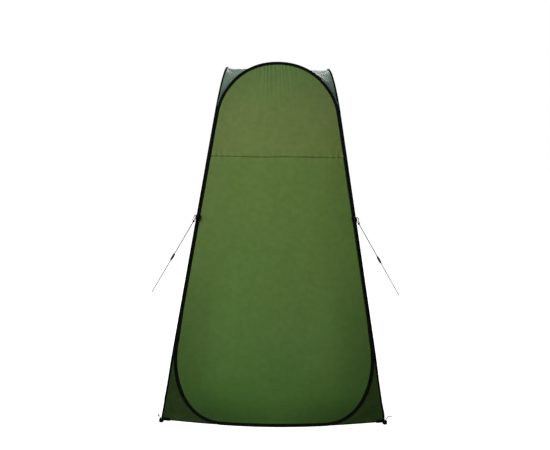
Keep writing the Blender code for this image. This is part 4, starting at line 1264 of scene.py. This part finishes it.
# Along the slider as a share of its length, then shares of its half width and half depth.
SLIDER_PROFILE = ((-0.50, 0.55, 0.55), (-0.485, 0.70, 0.80), (-0.44, 0.78, 0.95),
                  (-0.20, 0.80, 1.0), (0.05, 0.82, 1.0), (0.22, 0.94, 1.0), (0.38, 1.0, 0.98),
                  (0.45, 0.97, 0.92), (0.485, 0.88, 0.75), (0.50, 0.72, 0.50))
EYE_RISE = 0.0017           # the pull's pin, over the slider's face
BAIL_RADIUS = 0.0022
BAIL_FOOT = -0.0028
BAIL_WIRE = 0.00058
PULL_OUTER = (0.00375, -0.0330, 0.0010, 0.0020)    # half width, low end, high end, corner
PULL_INNER = (0.0016, -0.0040, -0.0010, 0.0007)
PULL_LEVELS = ((-0.0007, 0.0003), (-0.0004, 0.0), (0.0004, 0.0), (0.0007, 0.0003))
PULL_RIBS = [-0.0200 - 0.0022 * k for k in range(5)]
PULL_RIB_HALF = 0.0026
PULL_RIB_RADIUS = 0.00045


def slider_axes():
    """Slider's centre, its pull's pin, and its ways across, along and out, from the joints."""
    eye = Vector(joint("zip_pull_swing")["pos_m"])
    along = Vector(joint("zip_slide")["axis"]).normalized()
    across = -Vector(joint("zip_pull_swing")["axis"]).normalized()
    out = across.cross(along)
    ways = (eye - out * (SLIDER_HALF_DEPTH + EYE_RISE), eye, across, along, out)
    return [np.array(way) for way in ways]


def build_slider():
    """Slider with flared shoulders and the bail that holds its pull."""
    centre, eye, across, along, out = slider_axes()
    turns = np.linspace(0, 2 * np.pi, 28, endpoint=False)
    cos = np.cos(turns)
    sin = np.sin(turns)
    x = np.sign(cos) * np.abs(cos) ** SLIDER_ROUNDING * SLIDER_HALF_WIDTH
    z = np.sign(sin) * np.abs(sin) ** SLIDER_ROUNDING * SLIDER_HALF_DEPTH
    rings = [centre + along * t * SLIDER_LENGTH + (x * wide)[:, None] * across
             + (z * deep)[:, None] * out for t, wide, deep in SLIDER_PROFILE]
    arch = [(BAIL_RADIUS * math.cos(t), BAIL_RADIUS * math.sin(t))
            for t in np.linspace(0, math.pi, 17)]
    arch = [(BAIL_RADIUS, BAIL_FOOT)] + arch + [(-BAIL_RADIUS, BAIL_FOOT)]
    bail = tube([eye + along * x + out * z for x, z in arch], BAIL_WIRE, 10)
    add_piece("zip_slider_body", merge((loft(rings), bail)), ZIP_METAL, "zip_slider",
              "zip_slider", 50)


def build_pull():
    """The slider's ribbed pull tab, which turns in the bail."""
    _, eye, across, along, out = slider_axes()
    rings = []
    for sizes, sign in ((PULL_OUTER, 1), (PULL_INNER, -1)):
        for z, inset in PULL_LEVELS[::sign]:
            spots = offset(rounded_slot(*sizes), -inset * sign)
            rings.append(eye + spots[:, :1] * across + spots[:, 1:] * along + out * z)
    parts = [loft(rings, closed=True)]
    face = out * PULL_LEVELS[-1][0]
    for at in PULL_RIBS:
        ends = [eye + along * at + across * x + face for x in (-PULL_RIB_HALF, 0.0, PULL_RIB_HALF)]
        parts.append(tube(ends, PULL_RIB_RADIUS, 8))
    add_piece("zip_pull_tab", merge(parts), ZIP_METAL, "zip_pull", "zip_pull", 50)


def rounded_slot(half, low, high, corner, steps=6):
    """Closed rounded rectangle, counter-clockwise."""
    points = []
    for k, (x, y) in enumerate(((half, high), (-half, high), (-half, low), (half, low))):
        middle = (x - math.copysign(corner, x), high - corner if y == high else low + corner)
        for step in range(steps + 1):
            turn = math.radians(90 * k + 90 * step / steps)
            points.append((middle[0] + math.cos(turn) * corner,
                           middle[1] + math.sin(turn) * corner))
    return np.array(points)


TIE_N = BINDING_DEPTH + 0.0004
TIE_REACH = 0.016           # half of the loop along the hoop
TIE_RISE = (0.009, 0.008)   # its middle off the hoop, and its half height
TIE_HALF_WIDTH = 0.005
TIE_SECTION = ((-1, -1), (-0.5, -1.25), (0.5, -1.25), (1, -1), (1, 1), (0.5, 1.25), (-0.5, 1.25),
               (-1, 1))
TIE_HALF_THICK = 0.0005
TOGGLE_LENGTH = 0.028
TOGGLE_RADIUS = 0.0044
TOGGLE_WAIST = (0.0014, 0.07)              # how deep, and its half length as a share
TOGGLE_AT = (TIE_V - 0.060, TIE_N + 0.0055)


def build_tie():
    """Webbing loop and turned toggle that hold the door when it is rolled open."""
    side = -(half_width(TIE_V) - BINDING_WIDTH / 2 - EDGE_GAP)
    turns = np.radians(np.linspace(-150, 150, 49))
    middle, half = TIE_RISE
    path = np.stack((TIE_V + TIE_REACH * np.sin(turns), TIE_N + middle - half * np.cos(turns)), 1)
    run = unit(np.gradient(path, axis=0))
    normal = np.stack((-run[:, 1], run[:, 0]), 1)

    def lay(across, lift):
        spots = path + normal * lift * TIE_HALF_THICK
        return place(BACK, side + across * TIE_HALF_WIDTH, *spots.T)

    add_piece("door_tie_webbing", swept(TIE_SECTION, lay), TAPE, "back_wall", "door_tie_loop")
    spots = np.linspace(-0.5, 0.5, 29)
    depth, waist = TOGGLE_WAIST
    radius = TOGGLE_RADIUS * np.sqrt(np.maximum(1 - (2 * np.abs(spots)) ** 4, 0.12))
    radius -= depth * np.exp(-(spots / waist) ** 2)
    v, n = TOGGLE_AT
    add_piece("door_toggle", tube(place(BACK, side, v + TOGGLE_LENGTH * spots, n), radius, 18),
              PLASTIC, "back_wall", "door_tie_toggle")


# ---- Webbing tabs, pegs and guy lines ----------------------------------------------------------

WEBBING_THICKNESS = 0.0022
GROUND_BOX = (0.006, 0.008)                # stitched box's gap to the corner and to the tail's end
GROUND_BOX_RISE = (0.0025, 0.0135)
PEG_POINT = (0.35, 0.70, 0.93)             # shares of its radius at the foot


def tab_path(wall, side, v, n, tail):
    """Run of the webbing: a tail sewn on the wall, then a loop out past the corner."""
    along, face = corner_axes(wall, side)
    corner = Vector(place(wall, side * half_width(v), v, n))
    centre = corner + along * TAB_REACH + face * (TAB_RADIUS + TAB_STAND)
    spots = side * (half_width(v) - tail * (1 - np.linspace(0, 1, 6)) - TAB_SEAM)
    straight = place(wall, spots, v, n)
    turns = np.radians(np.linspace(*TAB_ARC_DEG, 40))
    ring = [centre + (along * math.cos(t) + face * math.sin(t)) * TAB_RADIUS for t in turns]
    return np.concatenate((straight, np.array(ring))), centre


def band(path, up, height):
    """Flat webbing on its edge along a path, its corners rounded."""
    across = unit(np.cross(np.gradient(path, axis=0), np.array(up)))
    half = WEBBING_THICKNESS / 2
    section = ((-half, 0.1), (-half * 0.6, 0.0), (half * 0.6, 0.0), (half, 0.1), (half, 0.5),
               (half, 0.9), (half * 0.6, 1.0), (-half * 0.6, 1.0), (-half, 0.9), (-half, 0.5))
    return swept(section, lambda w, h: path + across * w + np.array(up) * height * h)


def build_ground_tab(label, wall, side, body):
    """Corner loop that a peg goes through, with a box of stitches on its tail."""
    path, centre = tab_path(wall, side, 0.0, GROUND_TAB_N, GROUND_TAB_TAIL)
    path[:, 2] = 0.0
    node = "ground_tab_" + label
    add_piece(node + "_webbing", band(path, UP, GROUND_TAB_HEIGHT), TAPE, body, node)
    outer = half_width(0.0) - GROUND_BOX[0]
    inner = outer - GROUND_TAB_TAIL + GROUND_BOX[1]
    low, high = GROUND_BOX_RISE
    box = [(inner, low), (outer, low), (outer, high), (inner, high), (inner, low), (outer, high)]
    row = stitches_on(wall, np.array(box) * (side, 1), GROUND_TAB_N + 0.0012, TAB_STITCHES)
    add_piece(node + "_stitches", row, THREAD, body)
    centre.z = 0.0
    return centre


def build_peg(label, wall, side, hook_turn, centre):
    """Wire peg with a pointed foot and a hook bent over its head."""
    along, face = corner_axes(wall, side)
    foot = centre - (along + face) * PEG_SHIFT + UP * PEG_LIFT
    lean = sum((way * share for way, share in zip((along, face, UP), PEG_LEAN)), Vector())
    lean.normalize()
    turn = math.radians(hook_turn)
    level = along * math.cos(turn) + face * math.sin(turn)
    head = foot + lean * PEG_SHAFT
    path = [foot + lean * (PEG_SHAFT - PEG_BEND) * t for t in np.linspace(0, 1, 14)]
    path += [head + (level * t ** 2 - lean * (1 - t) ** 2) * PEG_BEND
             for t in np.linspace(0.08, 1, 12)]
    path += [head + level * (PEG_BEND + (PEG_HOOK - PEG_BEND) * t) for t in (0.35, 0.7, 1.0)]
    radius = np.full(len(path), PEG_RADIUS)
    radius[:3] *= PEG_POINT
    add_piece("peg_wire_" + label, tube(path, radius, 14), PEG_WIRE, "peg_" + label,
              "peg_" + label)


STRAND_RADIUS = 0.50        # shares of the cord's radius
STRAND_OFFSET = 0.52
ROPE_LOOP_START_DEG = 8 - ROPE_FALL_DEG
ROPE_LOOP_TURN_DEG = 333
ROPE_LOOP_GAP = 0.003       # from the loop to the straight run
KNOT_SIZE = 0.00135
KNOT_THIN = (0.95, 0.9)     # the knot's and its tail's radius against the cord's
KNOT_TAIL = (0.0035, 0.009, 0.004)         # where it starts, and how far it runs down and back


def strands(path, radius, pitch, count=3, sides=7):
    """Twisted cord: strands wound round one path."""
    path = resample(np.asarray(path), pitch / 7)
    _, a, b = path_frames(path)
    reach = lengths(path)
    parts = []
    for k in range(count):
        turn = (2 * np.pi * (reach / pitch + k / count))[:, None]
        parts.append(tube(path + (a * np.cos(turn) + b * np.sin(turn)) * radius * STRAND_OFFSET,
                          radius * STRAND_RADIUS, sides))
    return parts


def build_guy(label, side):
    """Tab, looped and knotted cord, and its tensioner."""
    along, face = corner_axes(FRONT, side)
    path, _ = tab_path(FRONT, side, GUY_V, GUY_TAB_N, GUY_TAB_TAIL)
    up = Vector(place(FRONT, side * half_width(GUY_V + 1), GUY_V + 1, 0.0)
                - place(FRONT, side * half_width(GUY_V), GUY_V, 0.0)).normalized()
    path = path - np.array(up) * GUY_TAB_HEIGHT / 2
    add_piece("guy_webbing_" + label, band(path, up, GUY_TAB_HEIGHT), TAPE, "front_wall",
              "guy_tab_" + label)
    line = "guy_line_" + label
    pivot = Vector(joint("guy_swing_" + label)["pos_m"])
    way = Vector(joint("tensioner_slide_" + label)["axis"]).normalized()
    level = (along + face).normalized()
    turns = math.radians(ROPE_LOOP_START_DEG) + np.radians(np.linspace(0, ROPE_LOOP_TURN_DEG, 60))
    loop = [pivot + (level * math.cos(t) + UP * math.sin(t)) * ROPE_LOOP_RADIUS for t in turns]
    near = ROPE_LOOP_RADIUS + ROPE_LOOP_GAP
    run = [pivot + way * (near + (ROPE_LENGTH - near) * t) for t in np.linspace(1, 0, 80)]
    add_piece("guy_cord_" + label, merge(strands(run + loop, CORD_RADIUS, CORD_LAY)), CORD, line,
              "guy_rope_" + label)
    a = way.cross(UP).normalized()
    b = way.cross(a)
    add_piece("guy_knot_cord_" + label, knot(pivot + way * (ROPE_LOOP_RADIUS + KNOT_AT), way, a, b),
              CORD, line, "guy_knot_" + label)
    add_piece("guy_runner_" + label, tensioner(pivot + way * TENSIONER_AT, way, a, b), PLASTIC,
              "tensioner_" + label, "guy_tensioner_" + label, 40)


def knot(middle, way, a, b):
    """Overhand knot, as a trefoil of cord, and the tail that comes out of it."""
    path = []
    for t in np.linspace(0, 2 * math.pi, 90, endpoint=False):
        x = math.sin(t) + 2 * math.sin(2 * t)
        y = math.cos(t) - 2 * math.cos(2 * t)
        path.append(middle + (a * x + b * y) * KNOT_SIZE - way * math.sin(3 * t) * KNOT_SIZE * 2)
    start, down, back = KNOT_TAIL
    tail = [middle - b * (start + down * t) - way * back * t for t in np.linspace(0, 1, 10)]
    knot_thin, tail_thin = KNOT_THIN
    return merge([tube(path, CORD_RADIUS * knot_thin, 10, closed=True)]
                 + strands(tail, CORD_RADIUS * tail_thin, CORD_LAY))


RUNNER_HALF = (0.0056, 0.0066)
RUNNER_WAIST = 0.62         # share of its half width left near the ends, and at the very ends
RUNNER_END = 0.58
RUNNER_GROOVE = 0.06
RUNNER_BORE = CORD_RADIUS + 0.0003


def tensioner(centre, way, a, b):
    """Lens-shaped runner with finger grooves, bored for the cord."""
    turns = np.linspace(0, 2 * np.pi, 24, endpoint=False)
    level = np.cos(turns)[:, None] * np.array(a)
    rise = np.sin(turns)[:, None] * np.array(b)
    wide = level * RUNNER_HALF[0] + rise * RUNNER_HALF[1]
    spots = np.linspace(-0.5, 0.5, 33)
    middles = [np.array(centre + way * TENSIONER_LENGTH * t) for t in spots]
    rings = []
    for t, middle in zip(spots, middles):
        swell = RUNNER_END
        if abs(t) < 0.4999:
            swell = RUNNER_WAIST + (1 - RUNNER_WAIST) * math.cos(math.pi * t) ** 0.8
        groove = 1 - RUNNER_GROOVE * (math.cos(2 * math.pi * t * 7) > 0.3) * (abs(t) < 0.3)
        rings.append(middle + wide * swell * groove)
    rings += [middle + (level + rise) * RUNNER_BORE for middle in middles[::-1]]
    return loft(rings, closed=True)


# ---- Stage, light and camera -------------------------------------------------------------------

CAMERA_DISTANCE = 3.58
CAMERA_HEIGHT = 1.478
CAMERA_LENS = 38.845
CAMERA_PITCH_DEG = 8.084
CAMERA_TURN_DEG = -0.91
CAMERA_ROLL_DEG = 1.00
SENSOR_WIDTH = 36.0
SKY_LIGHT = 0.40
FLOOR_GLOW = 0.75
FLOOR_GREY = 0.90
FLOOR_HALF = 30.0
FLOOR_DROP = 0.0006
# Name, place, target, size, power and colour.
LIGHTS = (("key", (-1.6, -2.8, 2.5), (0.0, -0.4, 1.0), 1.5, 100, (1.0, 0.98, 0.94)),
          ("back", (0.8, 2.6, 2.9), (0.0, 0.3, 1.1), 2.0, 45, (1, 1, 1)),
          ("side", (3.0, 0.3, 2.4), (0.0, 0.0, 0.9), 1.6, 25, (1, 1, 1)))


def build_floor():
    """Pale floor that glows a little, so that it is as white as the backdrop."""
    mesh = bpy.data.meshes.new("floor")
    half = FLOOR_HALF
    mesh.from_pydata([(-half, -half, 0), (half, -half, 0), (half, half, 0), (-half, half, 0)], [],
                     [(0, 1, 2, 3)])
    mat, shader = new_material("floor", (FLOOR_GREY,) * 3, 0.9, specular=0.0)
    shader.inputs["Emission Color"].default_value = (1, 1, 1, 1)
    shader.inputs["Emission Strength"].default_value = FLOOR_GLOW
    mesh.materials.append(mat)
    floor = bpy.data.objects.new("floor", mesh)
    floor.location.z = -FLOOR_DROP
    floor.visible_diffuse = False
    floor.visible_glossy = False
    bpy.context.scene.collection.objects.link(floor)


def add_light(name, position, target, size, power, colour):
    """Square area light aimed at a target."""
    data = bpy.data.lights.new(name, "AREA")
    data.size = size
    data.energy = power
    data.color = colour
    obj = bpy.data.objects.new(name, data)
    obj.location = position
    obj.rotation_euler = (Vector(target) - Vector(position)).to_track_quat("-Z", "Y").to_euler()
    bpy.context.scene.collection.objects.link(obj)


def build_camera():
    """Camera at the photograph's angle, a little above the middle of the front wall."""
    data = bpy.data.cameras.new("camera")
    data.lens = CAMERA_LENS
    data.sensor_width = SENSOR_WIDTH
    camera = bpy.data.objects.new("camera", data)
    turn = Matrix.Rotation(math.radians(CAMERA_TURN_DEG), 4, "Z")
    tilt = Matrix.Rotation(math.radians(90 - CAMERA_PITCH_DEG), 4, "X")
    roll = Matrix.Rotation(math.radians(CAMERA_ROLL_DEG), 4, "Z")
    stand = Matrix.Translation((0, -CAMERA_DISTANCE, CAMERA_HEIGHT))
    camera.matrix_world = turn @ stand @ tilt @ roll
    bpy.context.scene.collection.objects.link(camera)
    bpy.context.scene.camera = camera


def build_world():
    """White backdrop, dimmer as a light than it looks."""
    world = bpy.data.worlds.new("studio")
    world.use_nodes = True
    tree = world.node_tree
    background = tree.nodes["Background"]
    background.inputs["Color"].default_value = (1, 1, 1, 1)
    seen = tree.nodes.new("ShaderNodeLightPath")
    strength = tree.nodes.new("ShaderNodeMapRange")
    strength.inputs["To Min"].default_value = SKY_LIGHT
    strength.inputs["To Max"].default_value = 1.0
    tree.links.new(seen.outputs["Is Camera Ray"], strength.inputs["Value"])
    tree.links.new(strength.outputs["Result"], background.inputs["Strength"])
    bpy.context.scene.world = world


def build_studio():
    """Backdrop, lights, floor and camera."""
    build_world()
    bpy.context.scene.view_settings.view_transform = "Standard"
    for light in LIGHTS:
        add_light(*light)
    build_floor()
    build_camera()


# ---- Assembly ----------------------------------------------------------------------------------

for each_wall in range(4):
    build_binding(each_wall)
    for skirt_side, skirt_label in ((-1, "left"), (1, "right")):
        build_skirt(each_wall, skirt_side, skirt_label)
build_front()
build_side(LEFT)
build_side(RIGHT)
build_surround()
build_leaf()
build_door_hinge()
build_zip_half("tent", 1, "back_wall")
build_zip_half("door", -1, "door")
build_slider()
build_pull()
build_tie()
build_roof()
for where in (("front_left", FRONT, -1, "front_wall", "left_wall"),
              ("front_right", FRONT, 1, "front_wall", "right_wall"),
              ("back_left", LEFT, -1, "left_wall", "back_wall"),
              ("back_right", RIGHT, 1, "right_wall", None)):
    build_corner_strip(*where)
for tab_label, tab_wall, tab_side, tab_body, hook_turn in (
        ("front_left", FRONT, -1, "front_wall", 100.0),
        ("front_right", FRONT, 1, "front_wall", 0.0),
        ("back_left", LEFT, -1, "left_wall", 0.0),
        ("back_right", RIGHT, 1, "right_wall", 0.0)):
    loop_centre = build_ground_tab(tab_label, tab_wall, tab_side, tab_body)
    build_peg(tab_label, tab_wall, tab_side, hook_turn, loop_centre)
build_guy("left", -1)
build_guy("right", 1)
build_studio()
